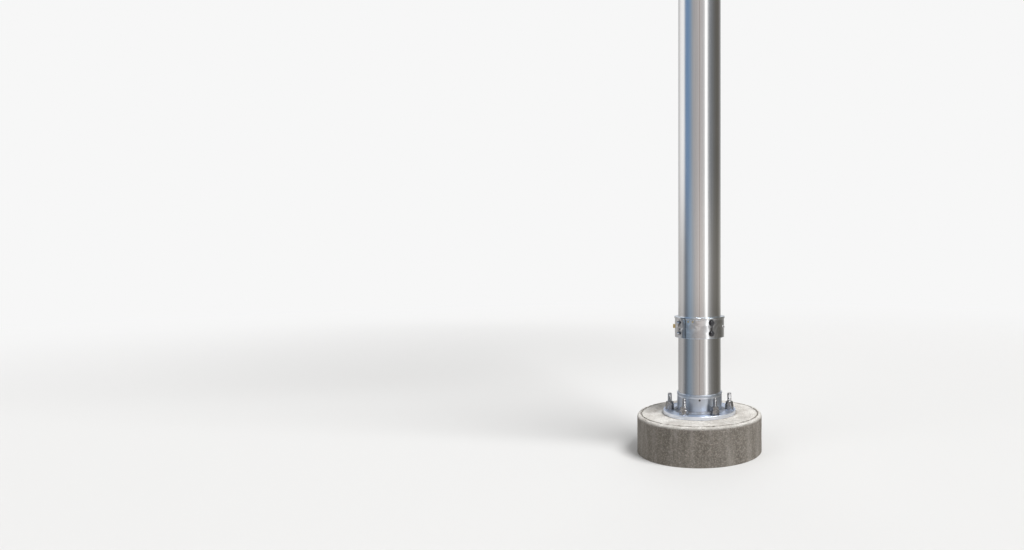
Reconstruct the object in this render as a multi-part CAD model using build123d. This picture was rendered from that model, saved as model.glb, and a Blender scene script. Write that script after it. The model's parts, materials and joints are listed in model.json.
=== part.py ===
from build123d import *
import math
import os

# A flagpole of aluminium tube, straight below and tapered above, bolted to a round concrete
# footing, with its truck, finial, halyard and flag.
# Sizes are millimetres. The origin is the middle of the footing's underside, at ground level.
# +Z is up and the flag flies towards +X. A bearing is in degrees from the front, which faces -Y,
# and grows towards +X.

# Clearances
seat_gap = 0.2  # round piece slipped over or into another
thread_gap = 0.15  # screw in its threaded hole, per side
bolt_gap = 0.8  # bolt in its drilled hole, per side
axle_gap = 0.08  # sheave on its axle, per side
seam_gap = 0.2  # between two strips of cloth
link_gap = 0.4  # between two linked rings
wrap_gap = 0.8  # between a turn of rope and what it is wound on
travel_gap = 5.0  # between what moves and what stands still

# Concrete footing
footing_diameter = 370.0
footing_height = 110.0
footing_edge_radius = 8.0
footing_rim_width = 11.0
groove_width = 3.0
groove_depth = 2.0

# Shoe base
flange_diameter = 215.9
flange_thickness = 9.0
flange_edge_radius = 1.0
flange_rim_width = 3.0
flange_rim_height = 1.4
floor_thickness = 4.0
drain_diameter = 80.0
sleeve_wall = 2.8
sleeve_height = 53.0
sleeve_fillet = 8.0
lip_width = 1.0
lip_height = 4.0
set_screw_diameter = 6.0
set_screw_drop = 14.0

# Anchor bolts
stud_count = 6
stud_circle = 177.8
stud_diameter = 12.7
stud_reach = 48.0
stud_depth = 95.0
stud_tip_radius = 3.0
washer_diameter = 26.5
washer_thickness = 2.5
nut_flats = 22.0
nut_height = 12.5
lock_nut_flats = 19.0
lock_nut_height = 8.5
nut_corner_slope = 0.7
first_stud_bearing = 13.0

# Shaft
shaft_diameter = 127.0
shaft_top_diameter = 76.2
shaft_wall = 3.2
seam_bearing = -16.5
straight_length = 4153.0
taper_length = 3353.0

# Clamp collar
collar_wall = 9.8
collar_height = 61.0
collar_bottom = 336.0
collar_lip_height = 7.0
collar_lip_width = 1.6
collar_rounding = 0.7
split_bearing = -51.0
split_width = 2.4
cap_screw_diameter = 5.0
cap_head_diameter = 8.5
cap_head_height = 5.0
cap_socket_flats = 4.0
socket_depth = 2.5
cap_seat_offset = 17.0
cap_screw_reach = 14.0
pair_spacing = 31.0
side_bolt_bearing = 62.0
side_bolt_flats = 12.0
side_bolt_height = 5.5
side_washer_diameter = 17.0
side_washer_thickness = 1.5
rivet_bearings = (-43.5, -32.3)
rivet_diameter = 4.4
rivet_height = 1.2
rivet_drop = 12.0
ground_bolt_bearing = -109.0
ground_bolt_diameter = 12.0
ground_bolt_height = 5.5
tell_tale_bearing = 58.0
tell_tale_diameter = 6.0
tell_tale_height = 2.5

# Cleat
cleat_height = 1520.0
cleat_length = 229.0
cleat_width = 16.0
cleat_foot_length = 84.0
cleat_foot_thickness = 8.0
cleat_leg_spacing = 50.0
cleat_leg_length = 20.0
cleat_horn_depth = 14.0
cleat_throat = 24.0
cleat_tip_rise = 7.0
cleat_tip_depth = 8.0
cleat_rounding = 3.5
cleat_screw_diameter = 6.0
cleat_head_diameter = 11.0
cleat_head_height = 4.0
cleat_socket_flats = 5.0

# Halyard and sheave
rope_diameter = 8.0
rope_offset = 72.0
sheave_radius = 22.0
groove_clearance = 0.3
sheave_rim = 4.0
sheave_rim_width = 13.0
sheave_hub_width = 22.0
sheave_hub_diameter = 20.0
sheave_web = 5.0
sheave_rim_depth = 3.0
axle_diameter = 8.0
axle_head_diameter = 13.0
axle_head_height = 3.0
belay_rise = 190.0
belay_bend = 8.0
fall_bend = 600.0

# Truck
truck_wall = 6.0
truck_skirt = 55.0
truck_top = 8.0
truck_cone_height = 24.0
truck_boss_diameter = 44.0
truck_boss_height = 6.0
cheek_thickness = 5.0
cheek_width = 32.0
cheek_gap = 0.5
bridge_thickness = 6.0
sheave_drop = 6.0
truck_screw_diameter = 6.0
truck_screw_count = 3
truck_socket_flats = 3.0
truck_rounding = 1.5

# Finial
ball_diameter = 127.0
ball_wall = 1.5
neck_height = 28.0
neck_foot_diameter = 38.0
neck_waist_diameter = 24.0
neck_head_diameter = 44.0
neck_head_edge = 2.0
neck_rounding = 3.0
spindle_diameter = 12.7
spindle_sink = 24.0
spindle_rise = 30.0

# Flag
flag_hoist = 1524.0
flag_fly = 2438.0
flag_drop = 200.0
header_width = 35.0
header_thickness = 2.4
cloth_thickness = 1.2
stripe_count = 13
canton_stripes = 7
canton_share = 0.4
fly_reach = 1930.0
reach_bias = 0.12
fly_droop = 1100.0
fly_gather = 0.28
lower_pull = 0.12
hoist_bow = 40.0
crease_depth = 300.0
crease_growth = 0.75
crease_start = -0.07
crease_slope = 0.49
crease_width = 0.075
fold_depth = 55.0
fold_count = 1.6
fold_slant = 1.0
fold_phase = 0.6
billow_depth = 45.0
billow_count = 1.25
cloth_steps = 30
cloth_rows = 4

# Snap hooks, knots and retainer rings
grommet_inset = 11.0
grommet_drop = 16.0
grommet_hole_diameter = 10.0
grommet_barrel_wall = 1.0
grommet_diameter = 20.0
grommet_lip = 1.0
hook_wire = 5.0
hook_radius = 7.0
hook_length = 24.0
swivel_length = 14.0
swivel_diameter = 11.0
swivel_waist = 7.5
thumb_diameter = 4.0
thumb_length = 3.5
eye_radius = 8.0
eye_wire = 4.0
knot_diameter = 20.0
knot_length = 32.0
knot_rounding = 3.0
knot_grip = 0.5
loop_radius = 12.0
loop_wire = 6.0
ring_wire = 3.0
ring_tilt = 10.0
bead_diameter = 18.0
bead_end_diameter = 12.0
bead_count = 18
bead_play = 2.0
ring_open = 30.0

# Heights and radii that follow from the sizes above
shaft_radius = shaft_diameter / 2
flange_top = footing_height + flange_thickness
shaft_foot = footing_height + floor_thickness
taper_foot = shaft_foot + straight_length
shaft_top = taper_foot + taper_length
sleeve_bore = shaft_radius + seat_gap
sleeve_radius = sleeve_bore + sleeve_wall
sleeve_top = flange_top + sleeve_height
stud_top = flange_top + stud_reach
nut_foot = flange_top + washer_thickness
lock_nut_foot = nut_foot + nut_height
collar_bore = shaft_radius + seat_gap
collar_radius = collar_bore + collar_wall
collar_middle = collar_bottom + collar_height / 2
collar_top = collar_bottom + collar_height
cap_screw_radius = collar_bore + collar_wall / 2
side_bolt_radius = side_bolt_flats / 4
rope_radius = rope_diameter / 2
sheave_height = shaft_top - sheave_drop
belay_height = cleat_height + belay_rise
cheek_inner = sheave_hub_width / 2 + cheek_gap
taper_slope = (shaft_diameter - shaft_top_diameter) / 2 / taper_length
truck_bore = shaft_top_diameter / 2 + truck_skirt * taper_slope + seat_gap
truck_radius = truck_bore + truck_wall
truck_shoulder = shaft_top + truck_top
truck_crown = truck_shoulder + truck_cone_height + truck_boss_height
bridge_foot = sheave_height + sheave_radius + rope_radius + travel_gap
neck_top = truck_crown + neck_height
ball_radius = ball_diameter / 2
ball_centre = neck_top + math.sqrt(ball_radius ** 2 - (neck_head_diameter / 2 - neck_head_edge) ** 2)
flag_top = shaft_top - flag_drop
flag_bottom = flag_top - flag_hoist
rope_side = -sheave_radius
eye_offset = rope_offset + knot_diameter / 2 + loop_radius
header_edge = eye_offset - grommet_inset
cloth_edge = header_edge + header_width
grommet_half = header_thickness / 2 + seat_gap + grommet_lip
bow_rise = hook_radius - math.sqrt(hook_radius ** 2 - grommet_half ** 2)
hook_lift = grommet_hole_diameter / 2 - hook_wire / 2 - link_gap - bow_rise
swivel_reach = hook_lift + hook_length + hook_radius + swivel_length
eye_reach = swivel_reach + seat_gap + eye_wire / 2 + eye_radius
knot_reach = eye_reach + eye_radius + loop_radius - loop_wire / 2 - eye_wire / 2 - link_gap
upper_knot = flag_top - grommet_drop + knot_reach
lower_knot = flag_bottom + grommet_drop - knot_reach
ring_drop = loop_radius - loop_wire / 2 - ring_wire / 2 - link_gap
ring_clear = travel_gap + bead_diameter / 2
ring_left = shaft_radius + ring_clear
ring_centre = (eye_offset - ring_left) / 2
ring_radius = math.hypot(eye_offset - ring_centre, sheave_radius)


def at_bearing(bearing, height=0.0):
    # A place on the pole's axis whose own X axis points outwards at the bearing.
    return Location((0, 0, height), (0, 0, bearing - 90))


def turned(outline, rounded=()):
    # A solid of revolution about Z from (radius, height) corners; rounded is (corner, radius).
    section = make_face(Polyline(*outline, close=True))
    for corner, radius in rounded:
        vertex = section.vertices().sort_by_distance((*outline[corner], 0))[0]
        section = fillet(vertex, radius)
    return revolve(Plane.XZ * section, Axis.Z)


def rod(radius, start, finish):
    # A round bar between two points.
    along = Vector(*finish) - Vector(*start)
    return extrude(Plane(origin=start, z_dir=along) * Circle(radius), along.length)


def socket(flats, mouth, inwards):
    # The six-sided recess of a socket screw, sunk from its mouth.
    key = RegularPolygon(flats / 2, 6, major_radius=False)
    return extrude(Plane(origin=mouth, z_dir=inwards) * key, socket_depth)


def hexagon(flats, foot, height):
    # A hexagonal prism about Z, with its corners turned down at the top.
    prism = Pos(0, 0, foot) * extrude(RegularPolygon(flats / 2, 6, major_radius=False), height)
    corner = flats / math.sqrt(3)
    drop = (corner - flats / 2) * nut_corner_slope
    cap = turned([(0, foot), (corner, foot), (corner, foot + height - drop),
                  (flats / 2, foot + height), (0, foot + height)])
    return prism & cap


# Foot of the pole

def stud_places():
    return [(i, at_bearing(first_stud_bearing + i * 360 / stud_count) * Pos(stud_circle / 2, 0, 0))
            for i in range(stud_count)]


def make_footing():
    outer = footing_diameter / 2
    groove_outside = outer - footing_rim_width
    groove_inside = groove_outside - groove_width
    body = turned(
        [(0, 0), (outer, 0), (outer, footing_height), (groove_outside, footing_height),
         (groove_outside, footing_height - groove_depth),
         (groove_inside, footing_height - groove_depth), (groove_inside, footing_height),
         (0, footing_height)],
        [(2, footing_edge_radius)])
    hole = Pos(0, 0, footing_height - stud_depth) * extrude(
        Circle(stud_diameter / 2 + seat_gap), stud_depth)
    for _, place in stud_places():
        body -= place * hole
    return body


def make_base_flange():
    rim = flange_diameter / 2
    body = turned(
        [(drain_diameter / 2, footing_height), (rim, footing_height),
         (rim, flange_top + flange_rim_height),
         (rim - flange_rim_width, flange_top + flange_rim_height),
         (rim - flange_rim_width - flange_rim_height, flange_top), (sleeve_radius, flange_top),
         (sleeve_radius, sleeve_top - lip_height),
         (sleeve_radius + lip_width, sleeve_top - lip_height),
         (sleeve_radius + lip_width, sleeve_top), (sleeve_bore, sleeve_top),
         (sleeve_bore, shaft_foot), (drain_diameter / 2, shaft_foot)],
        [(2, flange_edge_radius), (3, flange_edge_radius), (5, sleeve_fillet),
         (8, lip_width / 2), (7, lip_width / 2)])
    hole = Pos(0, 0, footing_height) * extrude(
        Circle(stud_diameter / 2 + bolt_gap), flange_thickness)
    for _, place in stud_places():
        body -= place * hole
    return body - at_bearing(seam_bearing, sleeve_top - set_screw_drop) * rod(
        set_screw_diameter / 2 + thread_gap, (0, 0, 0), (2 * sleeve_radius, 0, 0))


def make_sleeve_set_screw():
    end = sleeve_radius - lip_width / 2
    screw = rod(set_screw_diameter / 2, (shaft_radius + seat_gap, 0, 0), (end, 0, 0))
    mouth = socket(truck_socket_flats, (end, 0, 0), (-1, 0, 0))
    mouth &= rod(set_screw_diameter / 2, (shaft_radius + 2 * seat_gap + lip_width, 0, 0), (end, 0, 0))
    return at_bearing(seam_bearing, sleeve_top - set_screw_drop) * (screw - mouth)


def make_stud():
    length = stud_depth + flange_thickness + stud_reach
    body = Pos(0, 0, stud_top - length) * extrude(Circle(stud_diameter / 2), length)
    return fillet(body.edges().group_by(Axis.Z)[-1], stud_tip_radius)


def make_washer():
    ring = Circle(washer_diameter / 2) - Circle(stud_diameter / 2 + thread_gap)
    return Pos(0, 0, flange_top) * extrude(ring, washer_thickness)


def make_nut(flats, foot, height):
    bore = Pos(0, 0, foot) * extrude(Circle(stud_diameter / 2 + thread_gap), height)
    return hexagon(flats, foot, height) - bore


def on_studs(piece):
    return [place * piece for _, place in stud_places()]


# Shaft

def make_pole_shaft():
    top = shaft_top_diameter / 2
    body = turned(
        [(shaft_radius - shaft_wall, shaft_foot), (shaft_radius, shaft_foot),
         (shaft_radius, taper_foot), (top, shaft_top), (top - shaft_wall, shaft_top),
         (shaft_radius - shaft_wall, taper_foot)])
    for height in cleat_screw_heights():
        body -= rod(cleat_screw_diameter / 2 + thread_gap, (0, 0, height),
                    (2 * shaft_radius, 0, height))
    return body


# Clamp collar

def cap_screw_lines():
    # Where the two cap screws of one half cross its split, as heights.
    return [collar_middle + side * pair_spacing / 2 for side in (-1, 1)]


def at_split(piece):
    # The piece is drawn with the split on +X and the screw running along +Y.
    return at_bearing(split_bearing + 180) * piece


def make_collar_half():
    # The half runs from the split through the front and right to the opposite split.
    lip_radius = collar_radius + collar_lip_width
    lip_foot = collar_top - collar_lip_height
    ring = turned(
        [(collar_bore, collar_bottom), (collar_radius, collar_bottom),
         (collar_radius, lip_foot), (lip_radius, lip_foot + collar_lip_width),
         (lip_radius, collar_top), (collar_bore, collar_top)],
        [(1, collar_rounding), (2, collar_rounding), (3, collar_rounding), (4, collar_rounding)])
    half_box = Pos(0, split_width / 2, collar_bottom) * Box(
        4 * collar_radius, 2 * collar_radius, collar_height,
        align=(Align.CENTER, Align.MIN, Align.MIN))
    half = ring & (at_bearing(split_bearing) * half_box)
    bore = cap_screw_diameter / 2 + thread_gap
    for height in cap_screw_lines():
        near = Vector(cap_screw_radius, 0, height)
        hole = rod(bore, near - Vector(0, 2 * cap_seat_offset, 0),
                   near + Vector(0, cap_screw_reach + seat_gap, 0))
        pocket = rod(cap_head_diameter / 2 + 2 * seat_gap, near - Vector(0, cap_seat_offset, 0),
                     near - Vector(0, 4 * cap_seat_offset, 0))
        half -= at_split(hole)
        half -= at_split(pocket)
        half -= at_bearing(split_bearing) * hole
        half -= at_bearing(split_bearing + side_bolt_bearing) * rod(
            side_bolt_radius + thread_gap, (shaft_radius, 0, height), (2 * collar_radius, 0, height))
    return half


def make_cap_screws():
    screws = []
    for turn in (split_bearing, split_bearing + 180):
        for height in cap_screw_lines():
            seat = Vector(cap_screw_radius, -cap_seat_offset, height)
            end = Vector(cap_screw_radius, cap_screw_reach, height)
            top = seat - Vector(0, cap_head_height, 0)
            screw = rod(cap_head_diameter / 2, seat, top) + rod(cap_screw_diameter / 2, seat, end)
            screws.append(at_bearing(turn) * (screw - socket(cap_socket_flats, top, (0, 1, 0))))
    return screws


def make_collar_bolts():
    bolts = []
    for turn in (split_bearing, split_bearing + 180):
        for height in cap_screw_lines():
            seat = collar_radius + side_washer_thickness
            head = hexagon(side_bolt_flats, seat, side_bolt_height)
            head += rod(side_washer_diameter / 2, (0, 0, collar_radius), (0, 0, seat))
            body = head + rod(side_bolt_radius, (0, 0, collar_bore + seat_gap), (0, 0, seat))
            upright = Plane(origin=(0, 0, height), x_dir=(0, 1, 0), z_dir=(1, 0, 0)).location
            bolts.append(at_bearing(turn + side_bolt_bearing) * upright * body)
    return bolts


def stub(bearing, diameter, height, rise):
    # A round head standing out of the collar, sunk by its own height.
    return at_bearing(bearing, height) * rod(
        diameter / 2, (collar_radius - rise, 0, 0), (collar_radius + rise, 0, 0))


def make_rivets():
    height = collar_top - rivet_drop
    return [stub(bearing, rivet_diameter, height, rivet_height) for bearing in rivet_bearings]


def make_ground_bolt():
    return stub(ground_bolt_bearing, ground_bolt_diameter, collar_middle, ground_bolt_height)


def make_tell_tale():
    return stub(tell_tale_bearing, tell_tale_diameter, collar_middle, tell_tale_height)


def drilled(half, *pieces):
    # The half with a close hole for each round piece that is set in it.
    for bearing, diameter, height, depth in pieces:
        half -= at_bearing(bearing, height) * rod(
            diameter / 2 + thread_gap, (collar_radius - depth, 0, 0), (2 * collar_radius, 0, 0))
    return half


# Cleat

def cleat_screw_heights():
    return [cleat_height + side * cleat_leg_spacing / 2 for side in (-1, 1)]


def make_cleat():
    # Drawn in the XZ plane, out from the shaft, then given its width.
    foot = shaft_radius
    back = foot + cleat_foot_thickness + cleat_throat
    front = back + cleat_horn_depth
    tip = front + cleat_tip_rise
    half = cleat_length / 2
    leg_outside = cleat_leg_spacing / 2 + cleat_leg_length / 2
    leg_inside = cleat_leg_spacing / 2 - cleat_leg_length / 2
    front_curve = ThreePointArc((tip, -half), (front, 0), (tip, half))
    outline = Curve() + [
        front_curve,
        Polyline((tip, half), (tip - cleat_tip_depth, half), (back, leg_outside),
                 (foot + cleat_foot_thickness, leg_outside), (foot, cleat_foot_length / 2),
                 (foot, -cleat_foot_length / 2), (foot + cleat_foot_thickness, -leg_outside),
                 (back, -leg_outside), (tip - cleat_tip_depth, -half), (tip, -half))]
    profile = make_face(outline)
    eye_height = back - foot - cleat_foot_thickness
    window = Pos(back - eye_height / 2, 0) * Rectangle(eye_height, 2 * leg_inside)
    profile -= window
    body = extrude(Plane.XZ * profile, cleat_width / 2, both=True)
    body = fillet(body.edges().filter_by(GeomType.CIRCLE), cleat_rounding)
    body = Pos(0, 0, cleat_height) * body
    body -= Pos(0, 0, cleat_height - cleat_length) * extrude(
        Circle(shaft_radius + seat_gap), 2 * cleat_length)
    for height in cleat_screw_heights():
        body -= rod(cleat_screw_diameter / 2 + thread_gap, (0, 0, height), (2 * tip, 0, height))
        body -= rod(cleat_head_diameter / 2 + thread_gap,
                    (cleat_head_seat(), 0, height), (2 * tip, 0, height))
    return body


def cleat_head_seat():
    return shaft_radius + cleat_foot_thickness + cleat_throat + cleat_horn_depth / 2


def make_cleat_screws():
    screws = []
    seat = cleat_head_seat()
    end = seat + cleat_head_height
    for height in cleat_screw_heights():
        screw = rod(cleat_screw_diameter / 2, (shaft_radius - 2 * shaft_wall, 0, height),
                    (seat, 0, height))
        screw += rod(cleat_head_diameter / 2, (seat, 0, height), (end, 0, height))
        screws.append(screw - socket(cleat_socket_flats, (end, 0, height), (-1, 0, 0)))
    return screws


# Halyard and its truck

def belay_points():
    # One figure-of-eight turn on the cleat, from the left fall to the right one.
    foot = shaft_radius + cleat_foot_thickness
    front = foot + cleat_throat + cleat_horn_depth
    side = cleat_width / 2 + rope_radius + wrap_gap
    behind = foot + rope_diameter + wrap_gap / 2
    inner = front + rope_radius + wrap_gap
    outer = inner + rope_diameter + wrap_gap / 2
    under = cleat_leg_spacing / 2 + cleat_leg_length / 2 + rope_radius + 2 * wrap_gap
    lowest = under + rope_diameter + 2 * wrap_gap
    # The two passes over the front cross at right angles, so they rise by as much as they go across.
    turns = [(behind, -sheave_radius, -under), (behind, side, -under),
             (inner, side, -side), (inner, -side, side),
             (behind, -side, under), (behind, side, under),
             (outer, side, side), (outer, -side, -side),
             (behind + 2 * wrap_gap, -side, -lowest), (behind, sheave_radius, -lowest)]
    return [(x, y, cleat_height + z) for x, y, z in turns]


def make_halyard():
    # One closed loop: up one side, over the sheave, down the other and round the cleat.
    y = sheave_radius
    x = rope_offset
    top = sheave_height
    turns = belay_points()
    bends = [fall_bend] + [belay_bend] * len(turns) + [fall_bend]
    falls = FilletPolyline((x, -y, top), (x, -y, belay_height), *turns, (x, y, belay_height),
                           (x, y, top), radius=bends)
    over = Edge.make_three_point_arc((x, -y, top), (x, 0, top + y), (x, y, top))
    section = Circle(rope_radius)
    return (sweep(Plane(origin=(x, -y, top), z_dir=(0, 0, -1)) * section, falls)
            + sweep(Plane(origin=(x, -y, top), z_dir=(0, 0, 1)) * section, over))


def make_sheave():
    # Turned about its own axle, which lies along X.
    rim = sheave_radius + sheave_rim
    half = sheave_rim_width / 2
    inside = sheave_radius - rope_radius - groove_clearance - sheave_rim_depth
    section = make_face(Polyline(
        (axle_diameter / 2 + axle_gap, -sheave_hub_width / 2),
        (sheave_hub_diameter / 2, -sheave_hub_width / 2),
        (sheave_hub_diameter / 2, -sheave_web / 2),
        (inside, -sheave_web / 2), (inside, -half), (rim, -half),
        (rim, half), (inside, half), (inside, sheave_web / 2),
        (sheave_hub_diameter / 2, sheave_web / 2),
        (sheave_hub_diameter / 2, sheave_hub_width / 2),
        (axle_diameter / 2 + axle_gap, sheave_hub_width / 2), close=True))
    groove = Pos(sheave_radius, 0) * Circle(rope_radius + groove_clearance)
    mouth = Pos(rim, 0) * Rectangle(2 * (rim - sheave_radius), 2 * (rope_radius + groove_clearance))
    wheel = revolve(Plane.XZ * (section - groove - mouth), Axis.Z)
    return Pos(rope_offset, 0, sheave_height) * Rot(0, 90, 0) * wheel


def make_sheave_axle():
    near = rope_offset - cheek_inner - cheek_thickness
    far = rope_offset + cheek_inner + cheek_thickness
    pin = rod(axle_diameter / 2, (near, 0, sheave_height), (far + axle_head_height, 0, sheave_height))
    head = rod(axle_head_diameter / 2, (far, 0, sheave_height),
               (far + axle_head_height, 0, sheave_height))
    return pin + head


def truck_screw_bearings():
    return [270 + i * 360 / truck_screw_count for i in range(truck_screw_count)]


def make_truck_cap():
    boss = truck_boss_diameter / 2
    cap = turned(
        [(0, shaft_top), (truck_bore, shaft_top), (truck_bore, shaft_top - truck_skirt),
         (truck_radius, shaft_top - truck_skirt), (truck_radius, truck_shoulder),
         (boss, truck_shoulder + truck_cone_height), (boss, truck_crown), (0, truck_crown)],
        [(3, truck_rounding), (4, truck_rounding), (6, truck_rounding)])
    outer = rope_offset + cheek_inner + cheek_thickness
    bridge = Pos(0, 0, bridge_foot) * Box(
        outer, cheek_width, bridge_thickness, align=(Align.MIN, Align.CENTER, Align.MIN))
    cheek_top = bridge_foot + bridge_thickness - sheave_height
    shape = make_face(Curve() + [
        ThreePointArc((-cheek_width / 2, 0), (0, -cheek_width / 2), (cheek_width / 2, 0)),
        Polyline((cheek_width / 2, 0), (cheek_width / 2, cheek_top),
                 (-cheek_width / 2, cheek_top), (-cheek_width / 2, 0))])
    for start in (rope_offset - cheek_inner - cheek_thickness, rope_offset + cheek_inner):
        face_plane = Plane(origin=(start, 0, sheave_height), x_dir=(0, 1, 0), z_dir=(1, 0, 0))
        cap += extrude(face_plane * shape, cheek_thickness)
    cap += bridge
    web_foot = shaft_top - truck_skirt / 3
    web = Pos(truck_bore + truck_wall / 2, 0, web_foot) * Box(
        rope_offset - cheek_inner - truck_bore - truck_wall / 2, truck_wall,
        bridge_foot - web_foot, align=(Align.MIN, Align.CENTER, Align.MIN))
    cap += web
    cap -= rod(axle_diameter / 2 + axle_gap, (rope_offset - 2 * cheek_inner, 0, sheave_height),
               (2 * outer, 0, sheave_height))
    cap -= rod(spindle_diameter / 2 + thread_gap, (0, 0, truck_crown - spindle_sink),
               (0, 0, truck_crown))
    for bearing in truck_screw_bearings():
        cap -= at_bearing(bearing, shaft_top - truck_skirt / 2) * rod(
            truck_screw_diameter / 2 + thread_gap, (0, 0, 0), (2 * truck_radius, 0, 0))
    return cap


def make_truck_screws():
    end = truck_radius + truck_rounding
    screw = rod(truck_screw_diameter / 2, (truck_bore + seat_gap, 0, 0), (end, 0, 0))
    screw -= socket(truck_socket_flats, (end, 0, 0), (-1, 0, 0))
    return [at_bearing(bearing, shaft_top - truck_skirt / 2) * screw
            for bearing in truck_screw_bearings()]


# Finial

def make_finial_neck():
    foot = neck_foot_diameter / 2
    waist = neck_waist_diameter / 2
    head = neck_head_diameter / 2
    bore = spindle_diameter / 2 + thread_gap
    body = turned(
        [(bore, truck_crown), (foot, truck_crown), (foot, truck_crown + neck_height / 4),
         (waist, truck_crown + neck_height / 2), (waist, truck_crown + 2 * neck_height / 3),
         (head, neck_top), (bore, neck_top)],
        [(2, neck_rounding), (3, neck_rounding), (4, neck_rounding)])
    return body - Pos(0, 0, ball_centre) * Sphere(ball_radius + seat_gap)


def make_finial_spindle():
    return rod(spindle_diameter / 2, (0, 0, truck_crown - spindle_sink),
               (0, 0, ball_centre - ball_radius + spindle_rise))


def make_finial_ball():
    shell = Sphere(ball_radius) - Sphere(ball_radius - ball_wall)
    hole = Pos(0, 0, -ball_diameter) * extrude(
        Circle(spindle_diameter / 2 + seat_gap), ball_diameter)
    return Pos(0, 0, ball_centre) * (shell - hole)


# Flag

def cloth_point(along, down):
    # along runs 0 to 1 from the header to the fly end, down runs 0 to 1 from the top edge.
    # The crease runs down towards the fly: above it the cloth lies further back.
    reach = fly_reach * ((1 + reach_bias) * along - reach_bias * along ** 2)
    past = (1 + math.tanh((down - crease_start - crease_slope * along) / crease_width)) / 2
    fold = math.sin(math.tau * fold_count * (down - fold_slant * along) + fold_phase)
    billow = math.sin(math.tau * billow_count * along)
    x = cloth_edge + bow_at(down) * (1 - along) + reach * (1 - lower_pull * down)
    y = (rope_side + crease_depth * along ** crease_growth * (0.5 - past)
         + along * (fold_depth * fold + billow_depth * billow))
    z = flag_top - flag_hoist * (down - fly_gather * along * past) - fly_droop * along
    return Vector(x, y, z)


def bow_at(down):
    # How far the header bows away from the halyard between its two grommets.
    held = grommet_drop / flag_hoist
    return hoist_bow * math.sin(math.pi * (down - held) / (1 - 2 * held))


def cloth_strip(start, finish, top, bottom):
    # A thin strip of the cloth; the four limits are shares of its length and of its height.
    down_steps = cloth_rows * round((bottom - top) * stripe_count)
    edge = seam_gap / 2 / flag_hoist
    top += edge
    bottom -= edge
    shift = Vector(0, -cloth_thickness / 2, 0)
    rows = [[cloth_point(start + (finish - start) * i / cloth_steps,
                         top + (bottom - top) * j / down_steps) + shift
             for j in range(down_steps + 1)] for i in range(cloth_steps + 1)]
    return Solid.thicken(Face.make_surface_from_array_of_points(rows), cloth_thickness)


def canton_end():
    return (canton_share * flag_fly - header_width) / (flag_fly - header_width)


def make_canton():
    gap = seam_gap / flag_fly
    return cloth_strip(gap, canton_end() - gap, 0, canton_stripes / stripe_count)


def make_stripes(first):
    # Every other stripe, the ones beside the canton shorter.
    stripes = []
    for number in range(first, stripe_count, 2):
        start = canton_end() if number < canton_stripes else seam_gap / flag_fly
        stripes.append(cloth_strip(start, 1, number / stripe_count, (number + 1) / stripe_count))
    return stripes


def grommet_heights():
    return [flag_top - grommet_drop, flag_bottom + grommet_drop]


def across_cloth(x, z, radius, reach):
    # A round bar through the header, along Y.
    return rod(radius, (x, rope_side - reach, z), (x, rope_side + reach, z))


def make_header():
    count = cloth_rows * stripe_count
    shares = [i / count for i in range(count + 1)]
    sides = [[Vector(left + bow_at(share), rope_side, flag_top - flag_hoist * share)
              for share in shares] for left in (header_edge, cloth_edge)]
    outline = Wire([Edge.make_spline(sides[0]), Edge.make_line(sides[0][-1], sides[1][-1]),
                    Edge.make_spline(sides[1]), Edge.make_line(sides[1][0], sides[0][0])])
    header = Pos(0, header_thickness / 2, 0) * extrude(Face(outline), header_thickness)
    barrel = grommet_hole_diameter / 2 + grommet_barrel_wall
    for height in grommet_heights():
        header -= across_cloth(eye_offset, height, barrel + seat_gap, header_thickness)
    return header


def make_grommets():
    grommets = []
    hole = grommet_hole_diameter / 2
    face = header_thickness / 2 + seat_gap
    for height in grommet_heights():
        body = across_cloth(eye_offset, height, hole + grommet_barrel_wall, face + grommet_lip)
        lips = across_cloth(eye_offset, height, grommet_diameter / 2, face + grommet_lip)
        lips -= across_cloth(eye_offset, height, grommet_diameter, face)
        grommets.append(body + lips - across_cloth(eye_offset, height, hole, 2 * face + grommet_lip))
    return grommets


# Snap hooks, knots and rings

def make_snap_hook(grommet_height, way):
    # way is 1 when the hook hangs from a knot above, -1 when it is held by one below.
    bow = grommet_height + way * hook_lift
    crown = bow + way * hook_length
    x = eye_offset
    y = rope_side
    r = hook_radius
    low = bow + way * r
    loop = Wire([
        Edge.make_line((x, y - r, low), (x, y - r, crown)),
        Edge.make_three_point_arc((x, y - r, crown), (x, y, crown + way * r), (x, y + r, crown)),
        Edge.make_line((x, y + r, crown), (x, y + r, low)),
        Edge.make_three_point_arc((x, y + r, low), (x, y, bow), (x, y - r, low))])
    bar = sweep(Plane(origin=(x, y - r, low), z_dir=(0, 0, way)) * Circle(hook_wire / 2), loop)
    neck = crown + way * r
    girth = swivel_diameter / 2
    swivel = turned([(0, 0), (girth, 0), (girth, swivel_length / 4),
                     (swivel_waist / 2, 2 * swivel_length / 5),
                     (swivel_waist / 2, 3 * swivel_length / 5), (girth, 3 * swivel_length / 4),
                     (girth, swivel_length), (0, swivel_length)])
    thumb_height = bow + way * hook_length * 3 / 4
    thumb = rod(thumb_diameter / 2, (x, y - r, thumb_height),
                (x, y - r - hook_wire / 2 - thumb_length, thumb_height))
    return bar + thumb + Pos(x, y, neck) * Rot(0 if way > 0 else 180, 0, 0) * swivel


def make_snap_eyes():
    eyes = []
    for height, way in zip(grommet_heights(), (1, -1)):
        eyes.append(Pos(eye_offset, rope_side, height + way * eye_reach) * Rot(0, 90, 0)
                    * Torus(eye_radius, eye_wire / 2))
    return eyes


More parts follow.
